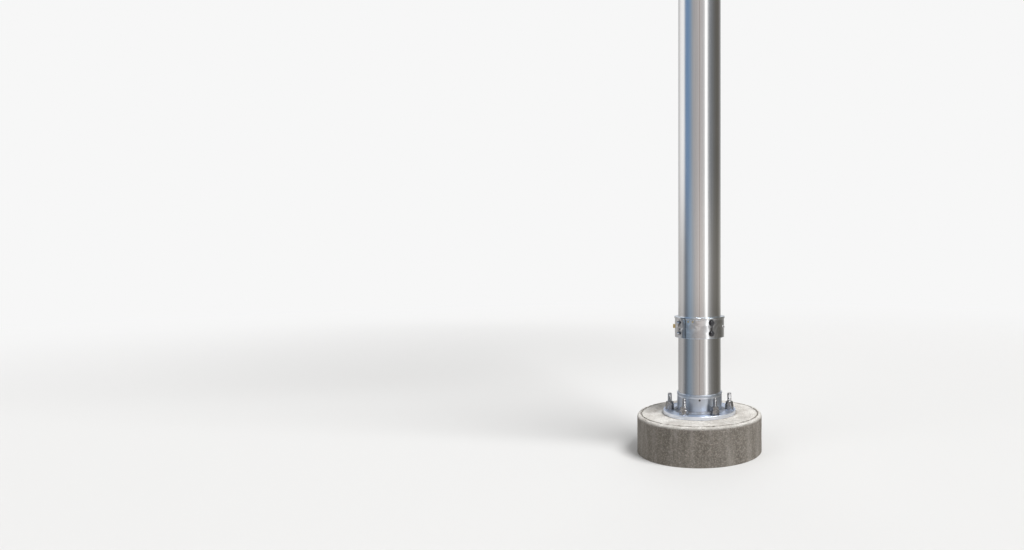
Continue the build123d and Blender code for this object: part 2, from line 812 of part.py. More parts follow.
def make_knots():
    knots = []
    for height in (upper_knot, lower_knot):
        barrel = turned([(rope_radius + knot_grip, -knot_length / 2),
                         (knot_diameter / 2, -knot_length / 2),
                         (knot_diameter / 2, knot_length / 2),
                         (rope_radius + knot_grip, knot_length / 2)],
                        [(1, knot_rounding), (2, knot_rounding)])
        loop = Pos(eye_offset - rope_offset, 0, 0) * Rot(90, 0, 0) * Torus(loop_radius, loop_wire / 2)
        bore = Pos(0, 0, -knot_length) * extrude(
            Circle(rope_radius + knot_grip), 2 * knot_length)
        knots.append(Pos(rope_offset, rope_side, height) * (barrel + loop - bore))
    return knots


def ring_place(number):
    # The ring goes round the shaft and both falls of the halyard, and hangs lower on the left.
    height, way = ((upper_knot, 1), (lower_knot, -1))[number]
    hang = Pos(eye_offset, 0, height + way * ring_drop) * Rot(0, -ring_tilt, 0)
    return hang * Pos(ring_centre - eye_offset, 0, 0)


def make_ring_cable(number):
    return ring_place(number) * Torus(ring_radius, ring_wire / 2)


def make_beads(number):
    middle = math.degrees(math.asin(-sheave_radius / ring_radius))
    open_half = math.degrees(ring_open / 2 / ring_radius)
    pitch = (360 - 2 * open_half) / bead_count
    length = math.radians(pitch) * ring_radius - bead_play
    end = bead_end_diameter / 2
    bow = ring_radius - math.sqrt(ring_radius ** 2 - (length / 2) ** 2)
    hole = ring_wire / 2 + bow + seat_gap
    bead = turned([(hole, -length / 2), (end, -length / 2), (bead_diameter / 2, -length / 5),
                   (bead_diameter / 2, length / 5), (end, length / 2), (hole, length / 2)])
    bead = Rot(90, 0, 0) * bead
    return [ring_place(number) * Rot(0, 0, middle + open_half + (i + 0.5) * pitch)
            * Pos(ring_radius, 0, 0) * bead for i in range(bead_count)]


def gathered(pieces):
    # Like pieces that share one node.
    return Compound(children=list(pieces))


def build():
    half = make_collar_half()
    rivets = [(bearing, rivet_diameter, collar_top - rivet_drop, rivet_height)
              for bearing in rivet_bearings]
    front = drilled(half, *rivets, (tell_tale_bearing, tell_tale_diameter, collar_middle,
                                    tell_tale_height))
    rear = drilled(Rot(0, 0, 180) * half,
                   (ground_bolt_bearing, ground_bolt_diameter, collar_middle, ground_bolt_height))
    upper_grommet, lower_grommet = grommet_heights()
    nodes = {
        "footing": make_footing(),
        "base_flange": make_base_flange(),
        "sleeve_set_screw": make_sleeve_set_screw(),
        "anchor_washers": gathered(on_studs(make_washer())),
        "anchor_nuts": gathered(on_studs(make_nut(nut_flats, nut_foot, nut_height))),
        "anchor_lock_nuts": gathered(
            on_studs(make_nut(lock_nut_flats, lock_nut_foot, lock_nut_height))),
        "pole_shaft": make_pole_shaft(),
        "clamp_collar_front": front,
        "clamp_collar_rear": rear,
        "clamp_cap_screws": gathered(make_cap_screws()),
        "clamp_bolts": gathered(make_collar_bolts()),
        "collar_rivets": gathered(make_rivets()),
        "ground_bolt": make_ground_bolt(),
        "collar_tell_tale": make_tell_tale(),
        "cleat": make_cleat(),
        "cleat_screws": gathered(make_cleat_screws()),
        "halyard": make_halyard(),
        "sheave": make_sheave(),
        "sheave_axle": make_sheave_axle(),
        "truck_cap": make_truck_cap(),
        "truck_set_screws": gathered(make_truck_screws()),
        "finial_neck": make_finial_neck(),
        "finial_spindle": make_finial_spindle(),
        "finial_ball": make_finial_ball(),
        "flag_canton": make_canton(),
        "flag_red_stripes": gathered(make_stripes(0)),
        "flag_white_stripes": gathered(make_stripes(1)),
        "flag_header": make_header(),
        "flag_grommets": gathered(make_grommets()),
        "snap_hook_upper": make_snap_hook(upper_grommet, 1),
        "snap_hook_lower": make_snap_hook(lower_grommet, -1),
        "snap_eyes": gathered(make_snap_eyes()),
        "halyard_knots": gathered(make_knots()),
        "retainer_cable_upper": make_ring_cable(0),
        "retainer_cable_lower": make_ring_cable(1),
        "retainer_beads_upper": gathered(make_beads(0)),
        "retainer_beads_lower": gathered(make_beads(1)),
    }
    for number, place in stud_places():
        nodes[f"anchor_stud_{number + 1}"] = place * make_stud()
    return nodes


os.makedirs("parts", exist_ok=True)
for name, shape in build().items():
    export_step(shape, f"parts/{name}.step")
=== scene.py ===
import json
import math
import bpy
from mathutils import Matrix, Vector, noise


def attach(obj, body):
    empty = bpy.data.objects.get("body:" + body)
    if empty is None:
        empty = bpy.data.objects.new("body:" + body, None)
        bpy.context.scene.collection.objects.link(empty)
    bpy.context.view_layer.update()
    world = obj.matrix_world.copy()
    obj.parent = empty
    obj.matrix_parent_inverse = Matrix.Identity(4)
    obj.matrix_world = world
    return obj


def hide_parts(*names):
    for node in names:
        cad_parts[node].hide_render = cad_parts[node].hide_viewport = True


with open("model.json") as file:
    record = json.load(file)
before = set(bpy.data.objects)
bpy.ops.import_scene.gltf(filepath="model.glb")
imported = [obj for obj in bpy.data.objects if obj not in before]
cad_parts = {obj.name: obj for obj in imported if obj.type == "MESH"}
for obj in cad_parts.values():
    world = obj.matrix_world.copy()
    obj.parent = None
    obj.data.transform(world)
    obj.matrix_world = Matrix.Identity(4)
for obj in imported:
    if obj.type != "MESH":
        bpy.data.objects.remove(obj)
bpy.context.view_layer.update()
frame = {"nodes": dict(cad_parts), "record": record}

nodes = frame["nodes"]
mm = 0.001
print("frame loaded:", len(nodes), "nodes")


# Camera, at the photograph's height and distance, level and facing the pole; the shift then puts
# the pole right of the middle, where the photograph has it
view = {"width": 1024, "height": 550, "focal": 647.8, "distance": 1.936, "bearing": -16.9,
        "eye": 0.555, "poleX": 699.5, "horizonY": 263.0, "sensor": 36.0}


def makeCamera():
    data = bpy.data.cameras.new("camera")
    data.sensor_width = view["sensor"]
    data.lens = view["focal"] / view["width"] * view["sensor"]
    data.shift_x = (view["width"] / 2 - view["poleX"]) / view["width"]
    data.shift_y = (view["horizonY"] - view["height"] / 2) / view["width"]
    data.clip_end = 200
    camera = bpy.data.objects.new("camera", data)
    bpy.context.scene.collection.objects.link(camera)
    bearing = math.radians(view["bearing"])
    camera.location = (view["distance"] * math.sin(bearing),
                       -view["distance"] * math.cos(bearing), view["eye"])
    camera.rotation_euler = (math.radians(90), 0, bearing)
    bpy.context.scene.camera = camera


makeCamera()
print("camera set")


# Small helpers for editing by operators

def deselectAll():
    if bpy.context.object and bpy.context.object.mode != "OBJECT":
        bpy.ops.object.mode_set(mode="OBJECT")
    bpy.ops.object.select_all(action="DESELECT")


def pick(*objects):
    deselectAll()
    for obj in objects:
        obj.select_set(True)
    bpy.context.view_layer.objects.active = objects[0]


def startPiece(name):
    # The primitive that was just added becomes the piece
    piece = bpy.context.object
    piece.name = name
    piece.data.name = name
    return piece


def editMode(selectAll=True):
    bpy.ops.object.mode_set(mode="EDIT")
    bpy.ops.mesh.select_all(action="SELECT" if selectAll else "DESELECT")


def objectMode():
    bpy.ops.object.mode_set(mode="OBJECT")


def settle(piece, angle):
    # The place goes into the mesh, normals point out and the shading is smooth
    pick(piece)
    bpy.ops.object.transform_apply(location=True, rotation=True, scale=True)
    editMode()
    bpy.ops.mesh.remove_doubles(threshold=0.00001)
    bpy.ops.mesh.normals_make_consistent(inside=False)
    objectMode()
    bpy.ops.object.shade_smooth_by_angle(angle=math.radians(angle))


def thicken(piece, thickness):
    wall = piece.modifiers.new("thickness", "SOLIDIFY")
    wall.thickness = thickness
    wall.offset = 0
    pick(piece)
    bpy.ops.object.modifier_apply(modifier=wall.name)


def copyPiece(piece, name, place=Matrix()):
    other = piece.copy()
    other.data = piece.data.copy()
    other.name = name
    other.data.name = name
    bpy.context.scene.collection.objects.link(other)
    other.data.transform(place)
    return other


def joinPieces(pieces, name):
    pick(*pieces)
    bpy.ops.object.join()
    return startPiece(name)


def turned(name, steps, segments):
    # A surface drawn up through (radius, height) steps, as on a lathe; a radius of 0 closes it
    deselectAll()
    radius, height = steps[0]
    bpy.ops.mesh.primitive_circle_add(vertices=segments, radius=radius, location=(0, 0, height))
    piece = startPiece(name)
    bpy.ops.object.transform_apply(location=True)
    editMode()
    for newRadius, newHeight in steps[1:]:
        bpy.ops.mesh.extrude_edges_move(
            TRANSFORM_OT_translate={"value": (0, 0, newHeight - height)})
        if newRadius == 0:
            bpy.ops.mesh.merge(type="CENTER")
        elif newRadius != radius:
            share = newRadius / radius
            bpy.ops.transform.resize(value=(share, share, 1), center_override=(0, 0, newHeight))
        radius, height = newRadius, newHeight
    objectMode()
    return piece


# Nodes: a signal is a value that varies over a surface, and sums with it add Math nodes

class Signal:
    def __init__(self, tree, socket):
        self.tree = tree
        self.socket = socket

    def maths(self, operation, *others, clamp=False):
        return addMaths(self.tree, operation, self, *others, clamp=clamp)

    def __add__(self, other):
        return self.maths("ADD", other)

    def __sub__(self, other):
        return self.maths("SUBTRACT", other)

    def __rsub__(self, other):
        return addMaths(self.tree, "SUBTRACT", other, self)

    def __mul__(self, other):
        return self.maths("MULTIPLY", other)

    def __truediv__(self, other):
        return self.maths("DIVIDE", other)

    def __lt__(self, other):
        return self.maths("LESS_THAN", other)

    def __abs__(self):
        return self.maths("ABSOLUTE")

    def timesPlus(self, factor, more, clamp=False):
        return self.maths("MULTIPLY_ADD", factor, more, clamp=clamp)

    def sine(self):
        return self.maths("SINE")


def feed(tree, socket, value):
    # An input is linked to a signal or a socket, or set to a plain value
    if isinstance(value, Signal):
        value = value.socket
    if isinstance(value, bpy.types.NodeSocket):
        tree.links.new(value, socket)
    elif socket.type == "RGBA":
        socket.default_value = (*value, 1)
    else:
        socket.default_value = value


def addNode(tree, kind, inputs=(), **settings):
    node = tree.nodes.new("ShaderNode" + kind)
    for key, value in settings.items():
        setattr(node, key, value)
    for key, value in dict(inputs).items():
        feed(tree, node.inputs[key], value)
    return node


def addMaths(tree, operation, *values, clamp=False):
    node = addNode(tree, "Math", enumerate(values), operation=operation, use_clamp=clamp)
    return Signal(tree, node.outputs[0])


def addGroup(tree, group, **values):
    node = addNode(tree, "Group", values, node_tree=group)
    return {socket.name: Signal(tree, socket) for socket in node.outputs}


def largest(first, *others):
    for other in others:
        first = first.maths("MAXIMUM", other)
    return first


def mixColour(tree, share, first, second, blend="MIX"):
    node = addNode(tree, "Mix", data_type="RGBA", blend_type=blend)
    for name, value in (("Factor", share), ("A", first), ("B", second)):
        feed(tree, [s for s in node.inputs if s.name == name and s.enabled][0], value)
    return [s for s in node.outputs if s.enabled][0]


def smoothly(value, low, high, most=1.0, least=0.0):
    # A soft step from least, at low, to most, at high
    node = addNode(value.tree, "MapRange", {"Value": value, "From Min": low, "From Max": high,
                                            "To Min": least, "To Max": most},
                   interpolation_type="SMOOTHSTEP")
    return Signal(value.tree, node.outputs["Result"])


def nearTo(value, middle, outer, inner=0.0, most=1.0):
    # At its most within inner of the middle, falling to 0 at outer
    return smoothly(abs(value - middle), outer, inner, most)


def scaled(tree, colour, factor):
    return addNode(tree, "VectorMath", {0: colour, "Scale": factor}, operation="SCALE").outputs[0]


def stretched(tree, coords, factors):
    return addNode(tree, "VectorMath", {0: coords, 1: factors}, operation="MULTIPLY").outputs[0]


def lengthOf(tree, vector):
    node = addNode(tree, "VectorMath", {0: vector}, operation="LENGTH")
    return Signal(tree, node.outputs["Value"])


def splitOf(tree, vector):
    return [Signal(tree, s) for s in addNode(tree, "SeparateXYZ", {0: vector}).outputs]


def noiseOf(tree, coords, scale, detail, roughness, distortion=0.0):
    node = addNode(tree, "TexNoise", {"Vector": coords, "Scale": scale, "Detail": detail,
                                      "Roughness": roughness, "Distortion": distortion})
    return Signal(tree, node.outputs["Fac"])


def cellsOf(tree, coords, scale):
    # Distance from the nearest of some scattered points, and a colour for each of them
    node = addNode(tree, "TexVoronoi", {"Vector": coords, "Scale": scale, "Randomness": 1.0})
    return Signal(tree, node.outputs["Distance"]), node.outputs["Color"]


def bearingOf(x, y):
    # Angle round the pole from the front, in radians
    return x.maths("ARCTAN2", y * -1)


def reachOf(x, y):
    # Distance from the pole's middle line
    return lengthOf(x.tree, addNode(x.tree, "CombineXYZ", {"X": x, "Y": y}).outputs[0])


# Effects that the materials share

def newGroup(name, inputs, *outputs):
    group = bpy.data.node_groups.new(name, "ShaderNodeTree")
    kinds = {"Vector": "Vector", "Stretch": "Vector", "Colour": "Color", "Film": "Color",
             "Worn": "Color"}
    for way, labels in (("INPUT", inputs), ("OUTPUT", outputs)):
        for label in labels:
            group.interface.new_socket(label, in_out=way,
                                       socket_type="NodeSocket" + kinds.get(label, "Float"))
    for socket in group.interface.items_tree:
        value = inputs.get(socket.name) if socket.in_out == "INPUT" else None
        if value is not None:
            socket.default_value = value
    start = group.nodes.new("NodeGroupInput")
    end = group.nodes.new("NodeGroupOutput")
    return group, {socket.name: Signal(group, socket) for socket in start.outputs}, end.inputs


def makeGrainGroup():
    # Fine grain, stretched by Stretch: varies a colour and a roughness and gives a height
    group, given, wanted = newGroup(
        "fineGrain", {"Vector": None, "Stretch": (1, 1, 1), "Colour": None, "Contrast": 0.1,
                      "Roughness": 0.3, "Spread": 0.05}, "Colour", "Roughness", "Height")
    fine = noiseOf(group, stretched(group, given["Vector"], given["Stretch"]), 1.0, 4.0, 0.6)
    centred = fine - 0.5
    gain = centred.timesPlus(given["Contrast"], 1.0)
    feed(group, wanted["Colour"], scaled(group, given["Colour"], gain))
    feed(group, wanted["Roughness"],
         centred.timesPlus(given["Spread"], given["Roughness"], clamp=True))
    feed(group, wanted["Height"], fine)
    return group


def makeFilmGroup():
    # Blotches of weathering that lie over a colour and dull it
    group, given, wanted = newGroup(
        "weatherFilm", {"Vector": None, "Scale": 10.0, "Colour": None,
                        "Film": (0.4, 0.38, 0.35, 1), "Amount": 0.2, "Roughness": 0.3},
        "Colour", "Roughness")
    film = {"from": 0.42, "to": 0.68, "dulling": 0.35}
    patches = noiseOf(group, given["Vector"], given["Scale"], 6.0, 0.65)
    mask = smoothly(patches, film["from"], film["to"]).maths("MULTIPLY", given["Amount"],
                                                             clamp=True)
    feed(group, wanted["Colour"], mixColour(group, mask, given["Colour"], given["Film"]))
    feed(group, wanted["Roughness"],
         mask.timesPlus(film["dulling"], given["Roughness"], clamp=True))
    return group


def makeWearGroup():
    # Edges that are rubbed bright
    group, given, wanted = newGroup(
        "edgeWear", {"Colour": None, "Worn": (0.8, 0.8, 0.8, 1), "Amount": 0.4}, "Colour")
    wear = {"from": 0.52, "to": 0.62}
    edges = Signal(group, addNode(group, "NewGeometry").outputs["Pointiness"])
    mask = smoothly(edges, wear["from"], wear["to"]).maths("MULTIPLY", given["Amount"], clamp=True)
    feed(group, wanted["Colour"], mixColour(group, mask, given["Colour"], given["Worn"]))
    return group


def stitchRow(distance, at, thread):
    # A line of thread at a distance from an edge
    return abs(distance - at) < thread


def dashes(run, stitch):
    # Each stitch fills two thirds of its length
    return (run / stitch).maths("FRACT") < 0.66


def woven(across, along, count):
    # Threads both ways, count to the metre
    return (across * (count * math.tau)).sine() * (along * (count * math.tau)).sine()


def makeSeamGroup():
    # Lapped seams and hems by the cloth's own metres: a thick band and two rows of stitches
    group, given, wanted = newGroup(
        "sewnSeams", {"Along": None, "Down": None, "Pitch": 0.117, "Edge": 2.403, "Canton": 0.94},
        "Band", "Thread")
    sew = {"lap": 0.006, "row": 0.0038, "thread": 0.0007, "stitch": 0.0032, "hem": 0.024,
           "hemRows": (0.25, 0.5, 0.75, 1.0), "inset": 0.001, "cantonFoot": 0.8206}
    along, down, pitch = given["Along"], given["Down"], given["Pitch"]
    share = down / pitch
    toSeam = abs((share - share.maths("ROUND")) * pitch)
    toCanton = abs(along - given["Canton"])
    toEdge = given["Edge"] - along
    beside = down < sew["cantonFoot"]  # the lower stripes run through
    feed(group, wanted["Band"], largest(toSeam < sew["lap"], toEdge < sew["hem"],
                                        (toCanton < sew["lap"]) * beside))
    rows = largest(stitchRow(toCanton, sew["row"], sew["thread"]) * beside,
                   *[stitchRow(toEdge, sew["hem"] * at - sew["inset"], sew["thread"])
                     for at in sew["hemRows"]])
    lengthwise = stitchRow(toSeam, sew["row"], sew["thread"]) * dashes(along, sew["stitch"])
    feed(group, wanted["Thread"], largest(lengthwise, rows * dashes(down, sew["stitch"])))
    return group


grainGroup = makeGrainGroup()
filmGroup = makeFilmGroup()
wearGroup = makeWearGroup()
seamGroup = makeSeamGroup()


# Materials

def newMaterial(name, roughness, metallic=0.0, shine=0.5):
    material = bpy.data.materials.new(name)
    material.use_nodes = True
    tree = material.node_tree
    shader = tree.nodes["Principled BSDF"]
    shader.inputs["Metallic"].default_value = metallic
    shader.inputs["Roughness"].default_value = roughness
    shader.inputs["Specular IOR Level"].default_value = shine
    return material, tree, addNode(tree, "TexCoord").outputs["Object"]


def clothUv(tree):
    return addNode(tree, "UVMap", uv_map="cloth").outputs["UV"]


def grainAndFilm(tree, coords, look, colour=None):
    # Grain in a colour with a film of weather over it: colour, roughness and height
    film, amount, scale = look["film"]
    grain = addGroup(tree, grainGroup, Vector=coords, Stretch=look["stretch"],
                     Colour=colour or look["colour"], Contrast=look["contrast"],
                     Roughness=look["roughness"], Spread=look["spread"])
    covered = addGroup(tree, filmGroup, Vector=coords, Colour=grain["Colour"],
                       Roughness=grain["Roughness"], Scale=scale, Film=film, Amount=amount)
    return covered["Colour"], covered["Roughness"], grain["Height"]


def finishMaterial(material, colour, roughness, height, distance, strength=1.0):
    tree = material.node_tree
    bump = addNode(tree, "Bump", {"Strength": strength, "Distance": distance, "Height": height})
    for name, value in (("Base Color", colour), ("Roughness", roughness),
                        ("Normal", bump.outputs["Normal"])):
        feed(tree, tree.nodes["Principled BSDF"].inputs[name], value)
    return material


def makeMetal(name, colour, roughness, stretch, contrast, film, wearAndHighlight=None, bump=0.00003):
    # Bare, cast or anodised metal; its film is a colour, an amount and a scale
    material, tree, coords = newMaterial(name, roughness, metallic=1.0)
    look = {"colour": colour, "roughness": roughness, "stretch": stretch, "contrast": contrast,
            "spread": 0.08, "film": film, "wear": 0.6}
    shown, dull, height = grainAndFilm(tree, coords, look)
    if wearAndHighlight:
        shown = addGroup(tree, wearGroup, Colour=shown, Worn=wearAndHighlight, Amount=look["wear"])["Colour"]
    return finishMaterial(material, shown, dull, height, bump)


def makePlastic(name, colour, roughness):
    material, tree, coords = newMaterial(name, roughness)
    look = {"colour": colour, "roughness": roughness, "stretch": (600, 600, 600),
            "contrast": 0.25, "spread": 0.15, "film": ((0.30, 0.29, 0.27), 0.2, 40.0)}
    return finishMaterial(material, *grainAndFilm(tree, coords, look), 0.00004)


def makeShaftMaterial():
    # Brushed tube: fine rings of brushing, a drawn line up the front, faint length streaks
    look = {"colour": (0.70, 0.695, 0.69), "roughness": 0.15, "stretch": (900, 900, 5),
            "contrast": 0.3, "spread": 0.12, "film": ((0.80, 0.79, 0.78), 0.12, 9.0),
            "line": (0.24, 0.17, 0.13), "bearing": -16.5, "halfWidth": 0.8, "lineLevel": 0.7}
    material, tree, coords = newMaterial("brushedShaft", 0.2, metallic=1.0)
    colour, roughness, height = grainAndFilm(tree, coords, look)
    x, y, z = splitOf(tree, coords)
    line = nearTo(bearingOf(x, y), math.radians(look["bearing"]),
                  math.radians(look["halfWidth"]), most=look["lineLevel"])
    drawn = mixColour(tree, line, colour, look["line"])
    return finishMaterial(material, drawn, roughness, height, 0.00002)


def makeConcreteMaterial():
    # Sandy cast side with run-down stains, darkened partly as painted shade, pale trowelled top,
    # painted shade and grime in the tooled line, in the pits and round the flange
    look = {"side": (0.178, 0.157, 0.132), "top": (0.70, 0.68, 0.645), "dark": (0.10, 0.085, 0.07),
            "pale": (0.40, 0.37, 0.33), "shadeAndGrime": (0.17, 0.15, 0.125), "stone": (0.24, 0.205, 0.17),
            "line": 0.1725, "lineReach": 0.0045, "ring": 0.108, "ringReach": 0.008,
            "stray": 0.012, "topFrom": 0.099, "topTo": 0.108, "stones": 230.0, "pits": 62.0,
            "film": 0.85, "roughness": 0.9}
    material, tree, coords = newMaterial("concrete", look["roughness"])
    x, y, z = splitOf(tree, coords)
    # The side is far darker than the top: partly the cast side's own tone, partly painted shade
    upper = smoothly(z, look["topFrom"], look["topTo"])
    colour = mixColour(tree, upper, look["side"], look["top"])
    runDown = stretched(tree, coords, (1, 1, 0.12))
    for where, scale, film, amount in ((coords, 17.0, "dark", 0.36), (runDown, 24.0, "pale", 0.60),
                                       (coords, 190.0, "pale", 0.55)):
        colour = addGroup(tree, filmGroup, Vector=where, Colour=colour, Scale=scale,
                          Film=look[film], Amount=amount, Roughness=look["film"])["Colour"]
    apart, stoneColour = cellsOf(tree, coords, look["stones"])
    speck = smoothly(apart, 0.32, 0.10, 0.5) * (1.25 - upper)  # fewer on the trowelled top
    tint = mixColour(tree, 0.4, look["stone"], stoneColour, "VALUE")
    colour = mixColour(tree, speck, colour, tint)
    # The pits, the tooled line and a ring by the flange's edge take the darker colour: painted
    # shade with grime
    pit = smoothly(cellsOf(tree, coords, look["pits"])[0], 0.13, 0.06)
    stray = noiseOf(tree, coords, 70.0, 4.0, 0.7)
    reach = (stray - 0.5).timesPlus(look["stray"], reachOf(x, y))
    line = nearTo(reach, look["line"], look["lineReach"], 0.0008, 0.75)
    ring = nearTo(reach, look["ring"], look["ringReach"], 0.0, 0.62)
    shadeAndGrimeMask = largest(largest(line, ring) * upper, pit * 0.6)
    grain = addGroup(tree, grainGroup, Vector=coords, Stretch=(330, 330, 330), Contrast=1.1,
                     Colour=mixColour(tree, shadeAndGrimeMask, colour, look["shadeAndGrime"]),
                     Roughness=look["roughness"], Spread=0.1)
    height = grain["Height"] + apart * 0.6 - pit * 1.6
    return finishMaterial(material, grain["Colour"], grain["Roughness"], height, 0.0009, 0.8)


def makeClothMaterial(name, colour, thread=None, pitch=0.11723):
    # Woven bunting: threads both ways along the piece's own UV, which is in metres
    look = {"weave": 900.0, "roughness": 0.8, "wash": 0.6, "washScale": 2.5, "shine": 0.05,
            "band": -0.16, "threads": 0.04, "stitches": 0.7}
    washed = tuple(level * 0.86 + sum(colour) * 0.023 for level in colour)
    material, tree, coords = newMaterial(name, 0.82, shine=look["shine"])
    x, y, z = splitOf(tree, clothUv(tree))
    threads = woven(x, y, look["weave"])
    faded = addGroup(tree, filmGroup, Vector=coords, Colour=colour, Scale=look["washScale"],
                     Film=washed, Amount=look["wash"], Roughness=look["roughness"])
    sewn = addGroup(tree, seamGroup, Along=x, Down=y, Pitch=pitch)
    shade = threads.timesPlus(look["threads"], sewn["Band"].timesPlus(look["band"], 1.0))
    stitched = mixColour(tree, sewn["Thread"] * look["stitches"],
                         scaled(tree, faded["Colour"], shade), thread or colour)
    height = sewn["Thread"].timesPlus(-2.0, sewn["Band"].timesPlus(3.0, threads))
    return finishMaterial(material, stitched, faded["Roughness"], height, 0.00016, 0.7)


def makeHeaderMaterial():
    # Canvas of the hoist edge: coarse weave, creases across and rows of stitches along its bow
    look = {"colour": (0.74, 0.73, 0.69), "soil": (0.52, 0.49, 0.43), "edge": 0.118, "bow": 0.040,
            "top": 7.42, "hoist": 1.524, "held": 16 / 1524, "rows": (0.003, 0.008, 0.030),
            "thread": 0.0007, "threadColour": (0.46, 0.44, 0.40), "stitch": 0.0036,
            "weave": 620.0, "creases": (14, 14, 46), "shine": 0.15, "roughness": 0.85}
    material, tree, coords = newMaterial("headerCanvas", look["roughness"], shine=look["shine"])
    x, y, z = splitOf(tree, coords)
    down = z.timesPlus(-1 / look["hoist"], look["top"] / look["hoist"] - look["held"])
    sway = (down * (math.pi / (1 - 2 * look["held"]))).sine()
    inward = sway.timesPlus(look["bow"], look["edge"]) - x
    rows = largest(*[stitchRow(inward, at, look["thread"]) for at in look["rows"]])
    sewn = rows * dashes(z, look["stitch"])
    weave = woven(inward, z, look["weave"])
    creases = noiseOf(tree, stretched(tree, coords, look["creases"]), 1.0, 3.0, 0.5)
    soiled = addGroup(tree, filmGroup, Vector=coords, Colour=look["colour"], Scale=22.0,
                      Film=look["soil"], Amount=0.35, Roughness=look["roughness"])
    marked = mixColour(tree, sewn * 0.75, soiled["Colour"], look["threadColour"])
    height = sewn.timesPlus(-2.0, creases.timesPlus(18.0, weave))
    return finishMaterial(material, marked, soiled["Roughness"], height, 0.00016, 0.9)


def makeRopeMaterial(name, ownRadius=None):
    # Braided line, soiled in places: its plaits cross round each fall of the halyard, or by the
    # piece's own UV where its radius is given
    look = {"x": 0.072, "side": 0.022, "plaits": 4, "pitch": 0.011, "radius": 0.004,
            "colour": (0.80, 0.785, 0.74), "roughness": 0.78, "stretch": (1500, 1500, 700),
            "contrast": 0.3, "spread": 0.1, "film": ((0.50, 0.47, 0.42), 0.35, 7.0)}
    material, tree, coords = newMaterial(name, look["roughness"])
    if ownRadius:
        x, y, z = splitOf(tree, clothUv(tree))
        turn = x * (look["plaits"] / ownRadius)
        rise = y * (math.tau / look["pitch"] * look["radius"] / ownRadius)
    else:
        x, y, z = splitOf(tree, coords)
        turn = (abs(y) - look["side"]).maths("ARCTAN2", x - look["x"]) * look["plaits"]
        rise = z * (math.tau / look["pitch"])
    braid = abs((turn + rise).sine() * (turn - rise).sine())
    soiled, roughness, grain = grainAndFilm(tree, coords, look)
    # The colour darkens in the grooves between the plaits: painted shade
    grooveShaded = scaled(tree, soiled, braid.timesPlus(0.28, 0.76))
    return finishMaterial(material, grooveShaded, roughness, grain.timesPlus(0.3, braid), 0.0006, 0.9)


def makeFlangeMaterial():
    # Turned shoe base: a bluish sleeve and a lighter, bluer plate as painted reflection, painted
    # highlights on the lip and rim, grime and painted shade in the fillet
    look = {"sleeve": (0.60, 0.645, 0.71), "plateReflection": (0.68, 0.77, 0.93), "plateTo": 0.1255,
            "paintedHighlight": (0.88, 0.91, 0.96), "lip": 0.1632, "rim": 0.10795, "foot": 0.0710,
            "shadeAndGrime": (0.17, 0.165, 0.16), "roughness": 0.36, "stretch": (260, 260, 900),
            "contrast": 0.22, "spread": 0.08, "film": ((0.40, 0.42, 0.45), 0.35, 26.0)}
    material, tree, coords = newMaterial("turnedFlange", look["roughness"], metallic=1.0)
    x, y, z = splitOf(tree, coords)
    reach = reachOf(x, y)
    low = z < look["plateTo"]
    # The sleeve's bluish tint and the plate's lighter, bluer colour are painted reflection
    base = mixColour(tree, low, look["sleeve"], look["plateReflection"])
    covered, roughness, grain = grainAndFilm(tree, coords, look, base)
    # Painted highlights on the sleeve's lip and the plate's rim
    paintedHighlight = largest(nearTo(z, look["lip"], 0.0022, 0.0012),
                     nearTo(reach, look["rim"], 0.0012, 0.0006, 0.8))
    highlighted = mixColour(tree, paintedHighlight, covered, look["paintedHighlight"])
    # Darker, rougher patches in the fillet at the sleeve's foot: grime and painted shade
    patches = noiseOf(tree, coords, 55.0, 5.0, 0.65).timesPlus(1.3, 0.1, clamp=True)
    filletShadeAndDirt = nearTo(reach, look["foot"], 0.011, 0.003) * (low * patches)
    return finishMaterial(material, mixColour(tree, filletShadeAndDirt, highlighted, look["shadeAndGrime"]),
                          filletShadeAndDirt.timesPlus(0.3, roughness, clamp=True), grain, 0.00003)


def makeCollarMaterial():
    # Polished band: the surround shows in it bent by slight waves of the surface; painted
    # highlights on both rims and dark patches about the bolts
    look = {"colour": (0.72, 0.725, 0.735), "roughness": 0.10, "stretch": (110, 110, 1500),
            "contrast": 0.12, "spread": 0.08, "film": ((0.42, 0.42, 0.43), 0.3, 26.0),
            "wearAndHighlight": (0.70, 0.83, 0.97), "rims": (0.336, 0.397), "rimReach": 0.0016,
            "middle": 0.3665, "patchPlaces": ((-71, 9), (11, 7)), "darkPatch": (0.055, 0.05, 0.048),
            "patchFrom": 0.37, "patchTo": 0.50, "patchLevel": 0.92}
    material, tree, coords = newMaterial("collarAluminium", look["roughness"], metallic=1.0)
    smeared, roughness, grain = grainAndFilm(tree, coords, look)
    x, y, z = splitOf(tree, coords)
    # Painted highlights, light blue, on the top and bottom rims
    rims = largest(*[nearTo(z, at, look["rimReach"], 0.0004, 0.8) for at in look["rims"]])
    rimHighlighted = mixColour(tree, rims, smeared, look["wearAndHighlight"])
    bearing = bearingOf(x, y)
    # Darker, rougher patches by the bolts, round the middle of the band
    patchPlaces = largest(*[nearTo(bearing, math.radians(degrees), math.radians(halfWidth), 0.02)
                        for degrees, halfWidth in look["patchPlaces"]])
    shown = smoothly(noiseOf(tree, coords, 75.0, 4.0, 0.7), look["patchFrom"], look["patchTo"])
    darkPatch = patchPlaces * nearTo(z, look["middle"], 0.027, 0.015) * (shown * look["patchLevel"])
    waves = noiseOf(tree, coords, 34.0, 1.5, 0.45, 0.6)
    return finishMaterial(material, mixColour(tree, darkPatch, rimHighlighted, look["darkPatch"]),
                          darkPatch.timesPlus(0.25, roughness), grain.timesPlus(0.01, waves), 0.0022)


